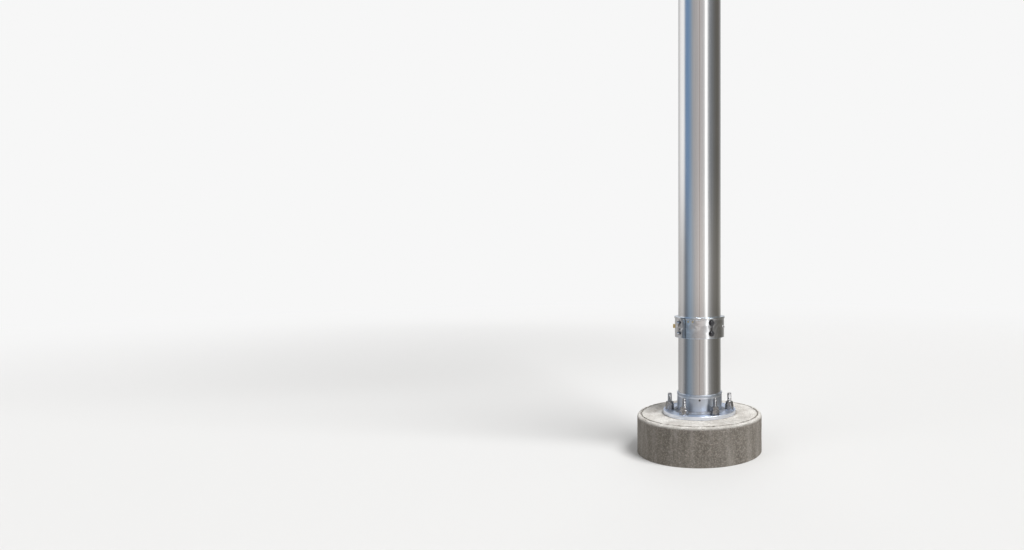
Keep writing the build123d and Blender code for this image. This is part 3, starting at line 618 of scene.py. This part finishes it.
finishes = {
    "brushed_aluminium": makeShaftMaterial(),
    "collar_aluminium": makeCollarMaterial(),
    "cast_aluminium": makeMetal("castAluminium", (0.45, 0.45, 0.455), 0.42, (500, 500, 500), 0.3,
                                ((0.35, 0.34, 0.33), 0.3, 12.0), bump=0.0001),
    "truck_aluminium": makeMetal("darkTruck", (0.16, 0.145, 0.13), 0.38, (400, 400, 400), 0.3,
                                 ((0.3, 0.28, 0.26), 0.3, 12.0), bump=0.0001),
    "gold_anodised": makeMetal("goldAnodised", (0.80, 0.52, 0.17), 0.2, (60, 60, 900), 0.12,
                               ((0.55, 0.36, 0.16), 0.25, 30.0)),
    "galvanised_steel": makeMetal("zincPlate", (0.36, 0.36, 0.365), 0.26, (350, 350, 350), 0.6,
                                  ((0.13, 0.12, 0.11), 0.55, 90.0)),
    "thread_steel": makeMetal("zincThread", (0.40, 0.40, 0.405), 0.26, (350, 350, 350), 0.5,
                              ((0.15, 0.14, 0.13), 0.5, 90.0), wearAndHighlight=(0.80, 0.80, 0.81)),
    "dark_steel": makeMetal("oiledBolt", (0.13, 0.13, 0.14), 0.24, (500, 500, 500), 0.5,
                            ((0.05, 0.045, 0.04), 0.5, 140.0)),
    "stainless_steel": makeMetal("brightSteel", (0.62, 0.62, 0.63), 0.22, (500, 500, 500), 0.15,
                                 ((0.3, 0.29, 0.28), 0.2, 120.0)),
    "brass": makeMetal("dullBrass", (0.62, 0.44, 0.17), 0.3, (700, 700, 700), 0.3,
                       ((0.28, 0.20, 0.10), 0.5, 160.0), wearAndHighlight=(0.85, 0.68, 0.36)),
    "bronze": makeMetal("weatheredBronze", (0.42, 0.22, 0.12), 0.36, (700, 700, 700), 0.3,
                        ((0.20, 0.12, 0.08), 0.5, 150.0), wearAndHighlight=(0.72, 0.46, 0.26)),
    "nylon_sheave": makePlastic("blackNylon", (0.05, 0.05, 0.055), 0.45),
    "dark_beads": makePlastic("blackBeads", (0.03, 0.03, 0.032), 0.38),
    "concrete": makeConcreteMaterial(),
    "rope": makeRopeMaterial("rope"),
    "knot_rope": makeRopeMaterial("knotRope", ownRadius=0.003),
    "canton_blue": makeClothMaterial("navyCloth", (0.003, 0.017, 0.098), (0.05, 0.08, 0.20),
                                     pitch=0.82062),
    "stripe_red": makeClothMaterial("redCloth", (0.66, 0.004, 0.019), (0.78, 0.12, 0.12)),
    "stripe_white": makeClothMaterial("whiteCloth", (0.785, 0.785, 0.785), (0.62, 0.62, 0.62)),
    "star_white": makeClothMaterial("starCloth", (0.72, 0.72, 0.72), pitch=3.0),  # no seams
    "header_canvas": makeHeaderMaterial(),
}

# Nodes whose look differs from their slot's
ownFinish = {"base_flange": makeFlangeMaterial(), "clamp_bolts": finishes["dark_steel"],
             "clamp_cap_screws": finishes["dark_steel"],
             "sleeve_set_screw": finishes["dark_steel"]}
print("materials made:", len(finishes))


def dressNodes():
    slotOf = {row["node"]: row["material_slot"] for row in frame["record"]["subparts"]}
    for name, node in nodes.items():
        node.data.materials.clear()
        node.data.materials.append(ownFinish.get(name) or finishes[slotOf[name]])
        pick(node)
        bpy.ops.object.shade_smooth_by_angle(angle=math.radians(30))


dressNodes()
print("frame nodes dressed")


# Shapes that follow a formula

def shapeGrid(name, across, along, place, unfold):
    # A grid with its points at place(u, v) and its UV at unfold(u, v), u and v from 0 to 1
    deselectAll()
    bpy.ops.mesh.primitive_grid_add(x_subdivisions=across, y_subdivisions=along, size=1,
                                    location=(0, 0, 0))
    piece = startPiece(name)
    mesh = piece.data
    shares = [(point.co.x + 0.5, point.co.y + 0.5) for point in mesh.vertices]
    layer = mesh.uv_layers[0]
    layer.name = "cloth"
    for loop in mesh.loops:
        layer.data[loop.index].uv = unfold(*shares[loop.vertex_index])
    for point, share in zip(mesh.vertices, shares):
        point.co = place(*share)
    return piece, shares


def tubeFrames(line):
    # Two directions across a line of points, at each of them, that turn as little as they can
    frames = []
    side = None
    for before, here, after in zip(line[:1] + line, line, line[1:] + line[-1:]):
        along = (after - before).normalized()
        if side is None:
            side = along.orthogonal().normalized()
        side = (side - along * side.dot(along)).normalized()
        frames.append((here, side, along.cross(side)))
    return frames


def tubeAlong(name, points, radius, sides, closed=False):
    # A round rope along points, with its ends capped where it isn't a ring
    line = points + points[:1] if closed else points
    frames = tubeFrames(line)
    if closed:
        frames[-1] = frames[0]
    lengths = [0.0]
    for one, two in zip(line, line[1:]):
        lengths.append(lengths[-1] + (two - one).length)
    last = len(line) - 1

    def place(u, v):
        middle, side, other = frames[round(v * last)]
        turn = u * math.tau
        return middle + (side * math.cos(turn) + other * math.sin(turn)) * radius

    def unfold(u, v):
        return u * math.tau * radius, lengths[round(v * last)]

    piece = shapeGrid(name, sides, last, place, unfold)[0]
    settle(piece, 60)
    if not closed:
        editMode()
        bpy.ops.mesh.fill_holes(sides=0)
        bpy.ops.mesh.select_all(action="SELECT")
        bpy.ops.mesh.normals_make_consistent(inside=False)
        objectMode()
    return piece


def chaos(place, scale, seed):
    # Smooth noise between about -1 and 1
    return noise.noise(Vector(place) * scale + Vector((seed * 7.3, seed * 3.1, seed * 5.7)))


# Footing: rough cast side, trowelled top with pits, tooled line, chipped and crumbled rim

footing = {"radius": 185 * mm, "height": 110 * mm, "edge": 8 * mm, "edgeRows": 6, "rim": 11 * mm,
           "groove": 3 * mm, "grooveDepth": 2.2 * mm, "lip": 1.5 * mm, "ease": 0.3 * mm,
           "batter": 0.8 * mm, "segments": 320, "rows": 24, "topRows": 15, "covered": 104 * mm,
           "wander": 0.9 * mm, "rough": 0.45 * mm, "chip": 9.0 * mm, "chipReach": 14 * mm,
           "pit": 3.0 * mm, "stray": 1.6 * mm, "strayReach": 5 * mm, "crumble": 3.2 * mm,
           "waves": 22, "grains": (190, 420), "chips": 75, "chipFrom": 0.18, "pits": 120,
           "pitFrom": 0.42, "strays": (60, 210), "crumbs": 130}  # noise scales and thresholds


def makeFooting():
    s = footing
    top = s["height"]
    shoulder = top - s["edge"]
    steps = [(s["radius"], shoulder * i / s["rows"]) for i in range(s["rows"] + 1)]
    for i in range(1, s["edgeRows"] + 1):
        turn = math.radians(90 / s["edgeRows"] * i)
        steps.append((s["radius"] - s["edge"] * (1 - math.cos(turn)),
                      shoulder + s["edge"] * math.sin(turn)))
    outside = s["radius"] - s["rim"]
    inside = outside - s["groove"]
    bed = top - s["grooveDepth"]
    steps += [(outside + s["lip"], top), (outside, top - s["ease"]), (outside - s["batter"], bed),
              (inside + s["batter"], bed), (inside, top - s["ease"])]
    steps += [(inside + (s["covered"] - inside) * i / s["topRows"], top)
              for i in range(1, s["topRows"] + 1)]
    steps += [(s["covered"] / 2, top), (0, top)]
    piece = turned("footingConcrete", steps, s["segments"])
    editMode(selectAll=False)
    bpy.ops.mesh.select_mode(type="VERT")
    objectMode()
    for point in piece.data.vertices:
        point.select = point.co.z < 1e-6
    bpy.ops.object.mode_set(mode="EDIT")
    bpy.ops.mesh.edge_face_add()
    objectMode()
    settle(piece, 60)
    for point in piece.data.vertices:
        weather(point, s)
    piece.data.materials.append(finishes["concrete"])
    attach(piece, "pole")
    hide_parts("footing")


def weather(point, s):
    x, y, z = point.co
    reach = math.hypot(x, y)
    if reach < s["covered"] + 2 * mm or z < 1e-6:  # under the flange, or the underside
        return
    outward = Vector((x, y, 0)) / reach
    soft = chaos((x, y, z), s["waves"], 1) * s["wander"]
    fine = (chaos((x, y, z), s["grains"][0], 2) * s["rough"]
            + chaos((x, y, z), s["grains"][1], 3) * s["rough"] * 0.6)
    toEdge = math.hypot(max(0, s["radius"] - reach), max(0, s["height"] - z))
    chip = (max(0, chaos((x, y, z), s["chips"], 4) - s["chipFrom"])
            * max(0, 1 - toEdge / s["chipReach"]))
    hole = max(0, chaos((x, y, z), s["pits"], 5) - s["pitFrom"]) * 3.0
    ruin = s["chip"] * chip + s["pit"] * hole * (1 if z < s["height"] - 3 * mm else 0.6)
    if z < s["height"] - 1 * mm and reach > s["radius"] - 1 * mm:  # the side
        point.co -= outward * (abs(soft) + abs(fine) + ruin)
        return
    point.co.z -= abs(fine) * 0.7 + abs(soft) * 0.5 + ruin
    if reach > s["radius"] - s["edge"]:
        point.co -= outward * (0.6 * ruin + abs(fine))
    nearLine = max(0, 1 - abs(reach - s["radius"] + s["rim"]) / s["strayReach"])
    stray = chaos((x, y, 0), s["strays"][0], 6) + 0.7 * chaos((x, y, 0), s["strays"][1], 7)
    point.co += outward * s["stray"] * stray * nearLine
    point.co.z -= s["crumble"] * max(0, chaos((x, y, 0), s["crumbs"], 8)) * nearLine


makeFooting()
print("footing made")


# Anchor bolts: real threads over the length that shows

studs = {"radius": 6.35 * mm, "circle": 88.9 * mm, "foot": 100 * mm, "top": 167 * mm,
         "pitch": 1.954 * mm, "depth": 0.95 * mm, "segments": 24, "perPitch": 6, "first": 13,
         "tip": 1.6 * mm, "tipLength": 2 * mm, "twist": 1.7}


def makeStuds():
    s = studs
    rows = round((s["top"] - s["foot"]) / s["pitch"] * s["perPitch"])
    heights = [s["foot"] + (s["top"] - s["foot"]) * i / rows for i in range(rows + 1)]
    steps = [(s["radius"], height) for height in heights]
    steps[-1] = (s["radius"] - s["tip"], s["top"])
    steps += [(s["radius"] * 0.4, s["top"]), (0, s["top"])]
    first = turned("studThread", steps, s["segments"])
    for point in first.data.vertices:
        reach = math.hypot(point.co.x, point.co.y)
        if reach < s["radius"] - 0.1 * mm:
            continue
        turn = math.atan2(point.co.y, point.co.x) / math.tau
        wave = abs(((point.co.z / s["pitch"] - turn) % 1) * 2 - 1)
        left = max(0, 1 - (s["top"] - point.co.z) / s["tipLength"])
        size = 1 - (s["depth"] * min(1, max(0, wave * 1.5 - 0.25)) + s["tip"] * left) / s["radius"]
        point.co.x *= size
        point.co.y *= size
    settle(first, 40)
    first.data.materials.append(finishes["thread_steel"])
    for number in range(6):
        bearing = math.radians(s["first"] + 60 * number)
        place = Vector((math.sin(bearing), -math.cos(bearing), 0)) * s["circle"]
        stud = copyPiece(first, f"studThread{number + 1}", Matrix.Translation(place)
                         @ Matrix.Rotation(s["twist"] * number, 4, "Z"))
        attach(stud, "pole")
        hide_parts(f"anchor_stud_{number + 1}")
    bpy.data.objects.remove(first)


makeStuds()
print("anchor bolts made")


# Flag: one sewn cloth with its stripes and canton, and stars on both sides. Fans of folds start at
# its upper and lower corner. Each of its bands is a place along and down the cloth, a lean, a
# depth, a width, and how far it spreads and runs

flag = {"top": 7420 * mm, "hoist": 1524 * mm, "fly": 2403 * mm, "edge": 118 * mm,
        "side": -22 * mm, "reach": 1930 * mm, "bias": 0.12, "droop": 1100 * mm, "gather": 0.28,
        "pull": 0.12, "bow": 40 * mm, "held": 16 / 1524, "creaseDepth": 300 * mm,
        "creaseGrowth": 0.75, "creaseStart": -0.07, "creaseSlope": 0.49, "creaseWidth": 0.075,
        "foldDepth": 55 * mm, "foldCount": 1.6, "foldSlant": 1.0, "foldPhase": 0.6,
        "billowDepth": 45 * mm, "billowCount": 1.25, "cantonEnd": (0.4 * 2438 - 35) / 2403,
        "columns": 240, "perStripe": 9, "stripes": 13, "cantonStripes": 7, "cloth": 1.2 * mm,
        "tuck": 6 * mm, "star": 0.0616 * 1524 * mm, "starWaist": 0.382, "starLift": 2.1 * mm,
        "starRows": 9, "stiff": 0.10, "fan": 13 * mm, "fanCount": 17, "fanLength": 0.42,
        "fans": ((0.0, 0.50, 1.0), (1.0, -0.08, 0.7)), "cross": 19 * mm, "crossDown": 4.3,
        "crossAlong": 5.2, "pucker": 17 * mm, "puckerLength": 0.172, "puckerAt": (0.55, 1.25),
        "puckerSize": (0.42, 0.38), "ripple": 16 * mm, "crumple": 4.2 * mm,
        "flutter": 14 * mm, "flutterCount": 5.5, "flutterFrom": 0.86, "flutterReach": 0.14,
        "calmFrom": -192 * mm, "calmReach": 16 * mm,
        "bands": ((1.26, 1.18, 0.62, 80 * mm, 0.062, 0.36, 0.72),
                  (1.74, 0.25, 0.20, 50 * mm, 0.060, 0.28, 0.45),
                  (0.50, 0.36, 1.03, -42 * mm, 0.045, 0.15, 0.48),
                  (2.05, 1.15, 0.55, 46 * mm, 0.055, 0.24, 0.50))}


def flagPoint(along, down):
    s = flag
    reach = s["reach"] * ((1 + s["bias"]) * along - s["bias"] * along ** 2)
    past = (1 + math.tanh((down - s["creaseStart"] - s["creaseSlope"] * along)
                          / s["creaseWidth"])) / 2
    fold = math.sin(math.tau * s["foldCount"] * (down - s["foldSlant"] * along) + s["foldPhase"])
    billow = math.sin(math.tau * s["billowCount"] * along)
    bow = s["bow"] * math.sin(math.pi * (down - s["held"]) / (1 - 2 * s["held"]))
    x = s["edge"] + bow * (1 - along) + reach * (1 - s["pull"] * down)
    y = (s["side"] + s["creaseDepth"] * max(0, along) ** s["creaseGrowth"] * (0.5 - past)
         + along * (s["foldDepth"] * fold + s["billowDepth"] * billow))
    z = s["top"] - s["hoist"] * (down - s["gather"] * along * past) - s["droop"] * along
    return Vector((x, y, z))


def flagWrinkle(along, down):
    # Small folds that the smooth shape leaves out, as a shift along y; they start at the header
    s = flag
    x, y = along * s["fly"], down * s["hoist"]
    free = min(1, along / s["stiff"])
    slack = 0.35 + 0.65 * along
    fan = 0.0
    for corner, lean, size in s["fans"]:  # out from both snaps
        gone = math.hypot(x, (down - corner) * s["hoist"])
        turn = math.atan2((down - corner) * s["hoist"], x + 0.02)
        fade = math.exp(-gone / s["fanLength"]) * min(1, gone / 0.10)
        fan += size * math.sin(turn * s["fanCount"] + lean * 6 + gone * 2.0) * fade
    cross = math.sin(math.tau * (down * s["crossDown"] - along * s["crossAlong"])
                     + 2.2 * chaos((x, y, 0), 1.9, 2))
    ripple = chaos((x, y, 0.3), 4.2, 3) + 0.45 * chaos((x, y, 1.3), 10.5, 4)
    flutter = (math.sin(down * math.tau * s["flutterCount"] + 1.3)
               * max(0, along - s["flutterFrom"]) / s["flutterReach"])
    low = math.exp(-((x - s["puckerAt"][0]) / s["puckerSize"][0]) ** 2
                   - ((y - s["puckerAt"][1]) / s["puckerSize"][1]) ** 2)  # by the lower snap
    pucker = low * math.sin(math.tau * (x + 0.3 * y) / s["puckerLength"]
                            + 1.5 * chaos((x, y, 4), 3, 7))
    turns = sum(band(x, y, *row) for row in s["bands"])
    return free * (turns + s["fan"] * fan + s["cross"] * cross * slack * chaos((x, y, 2), 2.4, 6)
                   + s["pucker"] * pucker + s["ripple"] * ripple * slack
                   + s["crumple"] * chaos((x, y, 5), 17, 8) + s["flutter"] * flutter)


def band(x, y, along, down, lean, depth, width, spread, long):
    # A strip of cloth that turns away from the light, across a line at a lean from upright
    out = (x - along) * math.cos(lean) - (y - down) * math.sin(lean)
    run = (x - along) * math.sin(lean) + (y - down) * math.cos(lean)
    return (-depth * math.tanh(out / width) * math.exp(-(out / spread) ** 2)
            * math.exp(-(run / long) ** 4))


def makeFlag():
    s = flag
    rows = s["stripes"] * s["perStripe"]
    split = round(s["columns"] * s["cantonEnd"])

    def shareAlong(u):
        column = u * s["columns"]
        if column <= split:
            return s["cantonEnd"] * column / split
        return s["cantonEnd"] + (1 - s["cantonEnd"]) * (column - split) / (s["columns"] - split)

    def place(u, v):
        along, down = shareAlong(u), 1 - v
        point = flagPoint(along, down) + Vector((0, flagWrinkle(along, down), 0))
        past = s["calmFrom"] - point.y
        if past > 0:  # the foremost folds level off inside the CAD flag's reach
            point.y = s["calmFrom"] - s["calmReach"] * math.tanh(past / s["calmReach"])
        if u == 0:
            point.x -= s["tuck"]
        return point

    def unfold(u, v):
        return shareAlong(u) * s["fly"], (1 - v) * s["hoist"]

    cloth, shares = shapeGrid("flagCloth", s["columns"], rows, place, unfold)
    points = [point.co.copy() for point in cloth.data.vertices]
    for slot in ("stripe_red", "stripe_white", "canton_blue"):
        cloth.data.materials.append(finishes[slot])
    for face in cloth.data.polygons:
        u, v = [sum(shares[i][k] for i in face.vertices) / 4 for k in (0, 1)]
        stripe = int((1 - v) * s["stripes"])
        inCanton = stripe < s["cantonStripes"] and u * s["columns"] < split
        face.material_index = 2 if inCanton else stripe % 2
    thicken(cloth, s["cloth"])
    bpy.ops.object.shade_smooth_by_angle(angle=math.radians(60))
    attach(cloth, "flag_set")
    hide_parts("flag_canton", "flag_red_stripes", "flag_white_stripes")
    stars = makeStars(points, split)


def makeStar():
    # One flat star, from a circle of ten points with every other one drawn in
    deselectAll()
    bpy.ops.mesh.primitive_circle_add(vertices=10, radius=flag["star"] / 2, fill_type="TRIFAN",
                                      location=(0, 0, 0))
    star = startPiece("starFirst")
    rim = sorted(star.data.vertices, key=lambda p: -p.co.length)[:10]
    rim.sort(key=lambda p: math.atan2(p.co.y, p.co.x))
    for number, point in enumerate(rim):
        turn = math.radians(90 + 36 * number)
        size = flag["star"] / 2 * (1 if number % 2 == 0 else flag["starWaist"])
        point.co = (size * math.cos(turn), size * math.sin(turn), 0)
    star.data.uv_layers[0].name = "cloth"
    editMode()
    bpy.ops.mesh.subdivide(number_cuts=3)
    objectMode()
    return star


def makeStars(points, split):
    # Sewn stars in nine rows, laid on the cloth's own points
    s = flag
    wide = s["columns"] + 1
    length = s["cantonEnd"] * s["fly"]
    height = s["hoist"] * s["cantonStripes"] / s["stripes"]

    def onCloth(x, y, side):
        column = min(split - 1e-6, x / length * split)
        row = (1 - y / s["hoist"]) * s["stripes"] * s["perStripe"]
        i, j = int(column), min(int(row), s["stripes"] * s["perStripe"] - 1)
        a, b = column - i, row - j
        corner = [points[(j + n) * wide + i + m] for n in (0, 1) for m in (0, 1)]
        low = corner[0].lerp(corner[1], a)
        high = corner[2].lerp(corner[3], a)
        away = (corner[1] - corner[0]).cross(corner[2] - corner[0]).normalized()
        return low.lerp(high, b) + away * side * (s["cloth"] / 2 + s["starLift"] / 2)

    first = makeStar()
    made = []
    for row in range(s["starRows"]):
        for column in range(6 - row % 2):
            x = length * (2 * column + 1 + row % 2) / 12
            y = height * (row + 1) / (s["starRows"] + 1)
            for side in (-1, 1):
                star = copyPiece(first, "star")
                layer = star.data.uv_layers[0].data
                for loop in star.data.loops:
                    point = star.data.vertices[loop.vertex_index].co
                    layer[loop.index].uv = (x + point.x, y - point.y)
                for point in star.data.vertices:
                    point.co = onCloth(x + point.co.x, y - point.co.y, side)
                made.append(star)
    bpy.data.objects.remove(first)
    stars = joinPieces(made, "flagStars")
    thicken(stars, s["starLift"] / 2)
    settle(stars, 50)
    stars.data.materials.append(finishes["star_white"])
    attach(stars, "flag_set")
    return stars


makeFlag()
print("flag made")


# Rope knots that hold the snaps: turns round the halyard and an eye

knot = {"upper": 7475.48 * mm, "lower": 5840.52 * mm, "x": 72 * mm, "side": -22 * mm,
        "strand": 3 * mm, "turns": 4.6, "coil": 7.2 * mm, "length": 25 * mm, "eye": 94 * mm,
        "loop": 12 * mm, "perTurn": 18, "eyePoints": 40, "sides": 12}


def makeKnots():
    s = knot
    made = []
    count = round(s["turns"] * s["perTurn"])
    for height in (s["upper"], s["lower"]):
        coil = []
        for i in range(count + 1):
            turn = math.tau * s["turns"] * i / count
            coil.append(Vector((s["x"] + s["coil"] * math.cos(turn),
                                s["side"] + s["coil"] * math.sin(turn),
                                height - s["length"] / 2 + s["length"] * i / count)))
        made.append(tubeAlong("knotCoil", coil, s["strand"], s["sides"]))
        turns = [math.tau * i / s["eyePoints"] for i in range(s["eyePoints"])]
        ring = [Vector((s["eye"] + s["loop"] * math.cos(turn), s["side"],
                        height + s["loop"] * math.sin(turn))) for turn in turns]
        made.append(tubeAlong("knotEye", ring, s["strand"], s["sides"], closed=True))
    piece = joinPieces(made, "ropeKnots")
    piece.data.materials.append(finishes["knot_rope"])
    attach(piece, "flag_set")
    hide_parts("halyard_knots")


makeKnots()
print("knots made")


# Studio: pale floor that fades into the pale surround, soft lamps, banded surround for the metal.
# The bands are soft light and dark panels that stand round the object, by their bearing and
# their red, green and blue, and others higher up; a ramp stops at 1, so they are held divided by
# the gain. A lamp is its name, level, bearing, rise and width
studio = {"pale": 0.93, "fillLevel": 0.30, "floorRadius": 60.0, "floor": (0.67, 0.667, 0.66),
          "floorLight": (0.36, 0.36, 0.36), "fadeFrom": 1.6, "fadeTo": 7.0, "mirrorFrom": 0.22,
          "mirrorTo": 0.5, "mirrorNear": 0.72, "mirrorFar": 0.98, "farFrom": 4.0, "farTo": 8.0,
          "bandsFrom": -0.03, "bandsTo": 0.17, "gain": 2.5,
          "lamps": (("keyLamp", 3.1, 38, 60, 26), ("sideLamp", 0.5, -70, 35, 40),
                    ("rearLamp", 0.9, 168, 14, 60)),
          "low": ((-180, 0.62, 0.62, 0.62), (-140, 0.62, 0.60, 0.59), (-118, 0.80, 0.79, 0.80),
                  (-102, 0.19, 0.20, 0.21), (-86, 0.22, 0.25, 0.29), (-70, 0.41, 0.53, 0.66),
                  (-54, 0.43, 0.48, 0.54), (-38, 0.60, 0.58, 0.57), (-20, 0.80, 0.73, 0.70),
                  (2, 0.77, 0.73, 0.71), (12, 0.90, 0.89, 0.88), (18, 2.2, 2.2, 2.2),
                  (24, 2.2, 2.2, 2.2), (31, 0.50, 0.50, 0.50), (60, 0.26, 0.25, 0.23),
                  (100, 0.17, 0.16, 0.14), (124, 0.45, 0.44, 0.41), (150, 0.70, 0.70, 0.69)),
          "high": ((-180, 0.58, 0.58, 0.58), (-158, 0.66, 0.66, 0.67), (-142, 1.05, 1.05, 1.06),
                   (-118, 1.22, 1.22, 1.23), (-108, 1.10, 1.12, 1.15), (-100, 0.22, 0.33, 0.49),
                   (-88, 0.19, 0.32, 0.54), (-72, 0.24, 0.37, 0.56), (-62, 0.32, 0.41, 0.52),
                   (-52, 0.47, 0.47, 0.48), (-34, 0.53, 0.51, 0.51), (-14, 0.61, 0.57, 0.56),
                   (4, 0.62, 0.61, 0.62), (11, 0.78, 0.77, 0.77), (17, 1.9, 1.9, 1.9),
                   (23, 1.9, 1.9, 1.9), (30, 0.36, 0.38, 0.40), (48, 0.24, 0.255, 0.28),
                   (74, 0.15, 0.145, 0.13), (108, 0.14, 0.13, 0.115), (130, 0.34, 0.34, 0.34),
                   (152, 0.66, 0.66, 0.67))}


def makeBandsGroup():
    group, given, wanted = newGroup("studioBands", {"Vector": None}, "Colour")
    facing = addNode(group, "VectorMath", {0: given["Vector"]}, operation="NORMALIZE").outputs[0]
    x, y, z = splitOf(group, facing)
    share = bearingOf(x, y).timesPlus(1 / math.tau, 0.5)

    def ring(stops):
        bands = addNode(group, "ValToRGB", {"Fac": share})
        bands.color_ramp.interpolation = "B_SPLINE"
        ramp = bands.color_ramp.elements
        while len(ramp) < len(stops):
            ramp.new(0.5)
        for element, (degrees, *colour) in zip(ramp, stops):
            element.position = degrees / 360 + 0.5
            element.color = (*[level / studio["gain"] for level in colour], 1)
        return bands.outputs["Color"]

    rise = smoothly(z, studio["bandsFrom"], studio["bandsTo"])
    mixed = mixColour(group, rise, ring(studio["low"]), ring(studio["high"]))
    feed(group, wanted["Colour"], scaled(group, mixed, studio["gain"]))
    return group


bandsGroup = makeBandsGroup()


def raysOf(tree):
    # Whether the camera sees the surface, a mirror or clear piece shows it, or it lights others
    ray = {s.name: Signal(tree, s) for s in addNode(tree, "LightPath").outputs}
    mirrored = largest(ray["Is Glossy Ray"], ray["Is Transmission Ray"])
    return ray["Is Camera Ray"], mirrored, ray["Is Diffuse Ray"]


def mixShaders(tree, share, first, second):
    return addNode(tree, "MixShader", {0: share, 1: first, 2: second}).outputs[0]


def makeWorld():
    world = bpy.data.worlds.new("studio")
    bpy.context.scene.world = world
    world.use_nodes = True
    tree = world.node_tree
    tree.nodes.clear()
    coords = addNode(tree, "TexCoord").outputs["Generated"]
    bands = addGroup(tree, bandsGroup, Vector=coords)["Colour"]
    seen, mirrored, lighting = raysOf(tree)
    fill, shown, pale = [
        addNode(tree, "Background", {"Color": colour, "Strength": strength}).outputs[0]
        for colour, strength in (((1, 1, 1), studio["fillLevel"]), (bands, 1.0),
                                 ((1, 1, 1), studio["pale"]))]
    mixed = mixShaders(tree, seen, mixShaders(tree, mirrored, fill, shown), pale)
    addNode(tree, "OutputWorld", {"Surface": mixed})


def makeLamps():
    # Only the key lamp shows in the shaft, where the weak ones would add bright lines
    for name, level, bearing, rise, width in studio["lamps"]:
        data = bpy.data.lights.new(name, "SUN")
        data.energy = level
        data.angle = math.radians(width)
        lamp = bpy.data.objects.new(name, data)
        lamp.visible_glossy = name == "keyLamp"
        bpy.context.scene.collection.objects.link(lamp)
        flat = math.cos(math.radians(rise))
        towards = Vector((flat * math.sin(math.radians(bearing)),
                          -flat * math.cos(math.radians(bearing)), math.sin(math.radians(rise))))
        lamp.rotation_euler = towards.to_track_quat("Z", "Y").to_euler()


def makeFloor():
    deselectAll()
    bpy.ops.mesh.primitive_circle_add(vertices=96, radius=studio["floorRadius"], fill_type="NGON",
                                      location=(0, 0, -0.0005))
    floor = startPiece("floor")
    material, tree, coords = newMaterial("paleFloor", 0.9)
    shader = tree.nodes["Principled BSDF"]
    seen, mirrored, lighting = raysOf(tree)
    feed(tree, shader.inputs["Base Color"],
         mixColour(tree, lighting, studio["floor"], studio["floorLight"]))
    reach = lengthOf(tree, coords)
    level = smoothly(reach, studio["farFrom"], studio["farTo"], studio["mirrorFar"],
                     studio["mirrorNear"])
    bands = addGroup(tree, bandsGroup, Vector=coords)["Colour"]
    mixed = shader.outputs[0]
    for rays, fade, colour, strength in ((seen, "fade", (1, 1, 1), studio["pale"]),
                                         (mirrored, "mirror", bands, level)):
        glow = addNode(tree, "Emission", {"Color": colour, "Strength": strength}).outputs[0]
        share = smoothly(reach, studio[fade + "From"], studio[fade + "To"]) * rays
        mixed = mixShaders(tree, share, mixed, glow)
    feed(tree, tree.nodes["Material Output"].inputs["Surface"], mixed)
    floor.data.materials.append(material)


makeWorld()
makeLamps()
makeFloor()
bpy.context.scene.view_settings.view_transform = "Standard"
print("studio lit")

deselectAll()
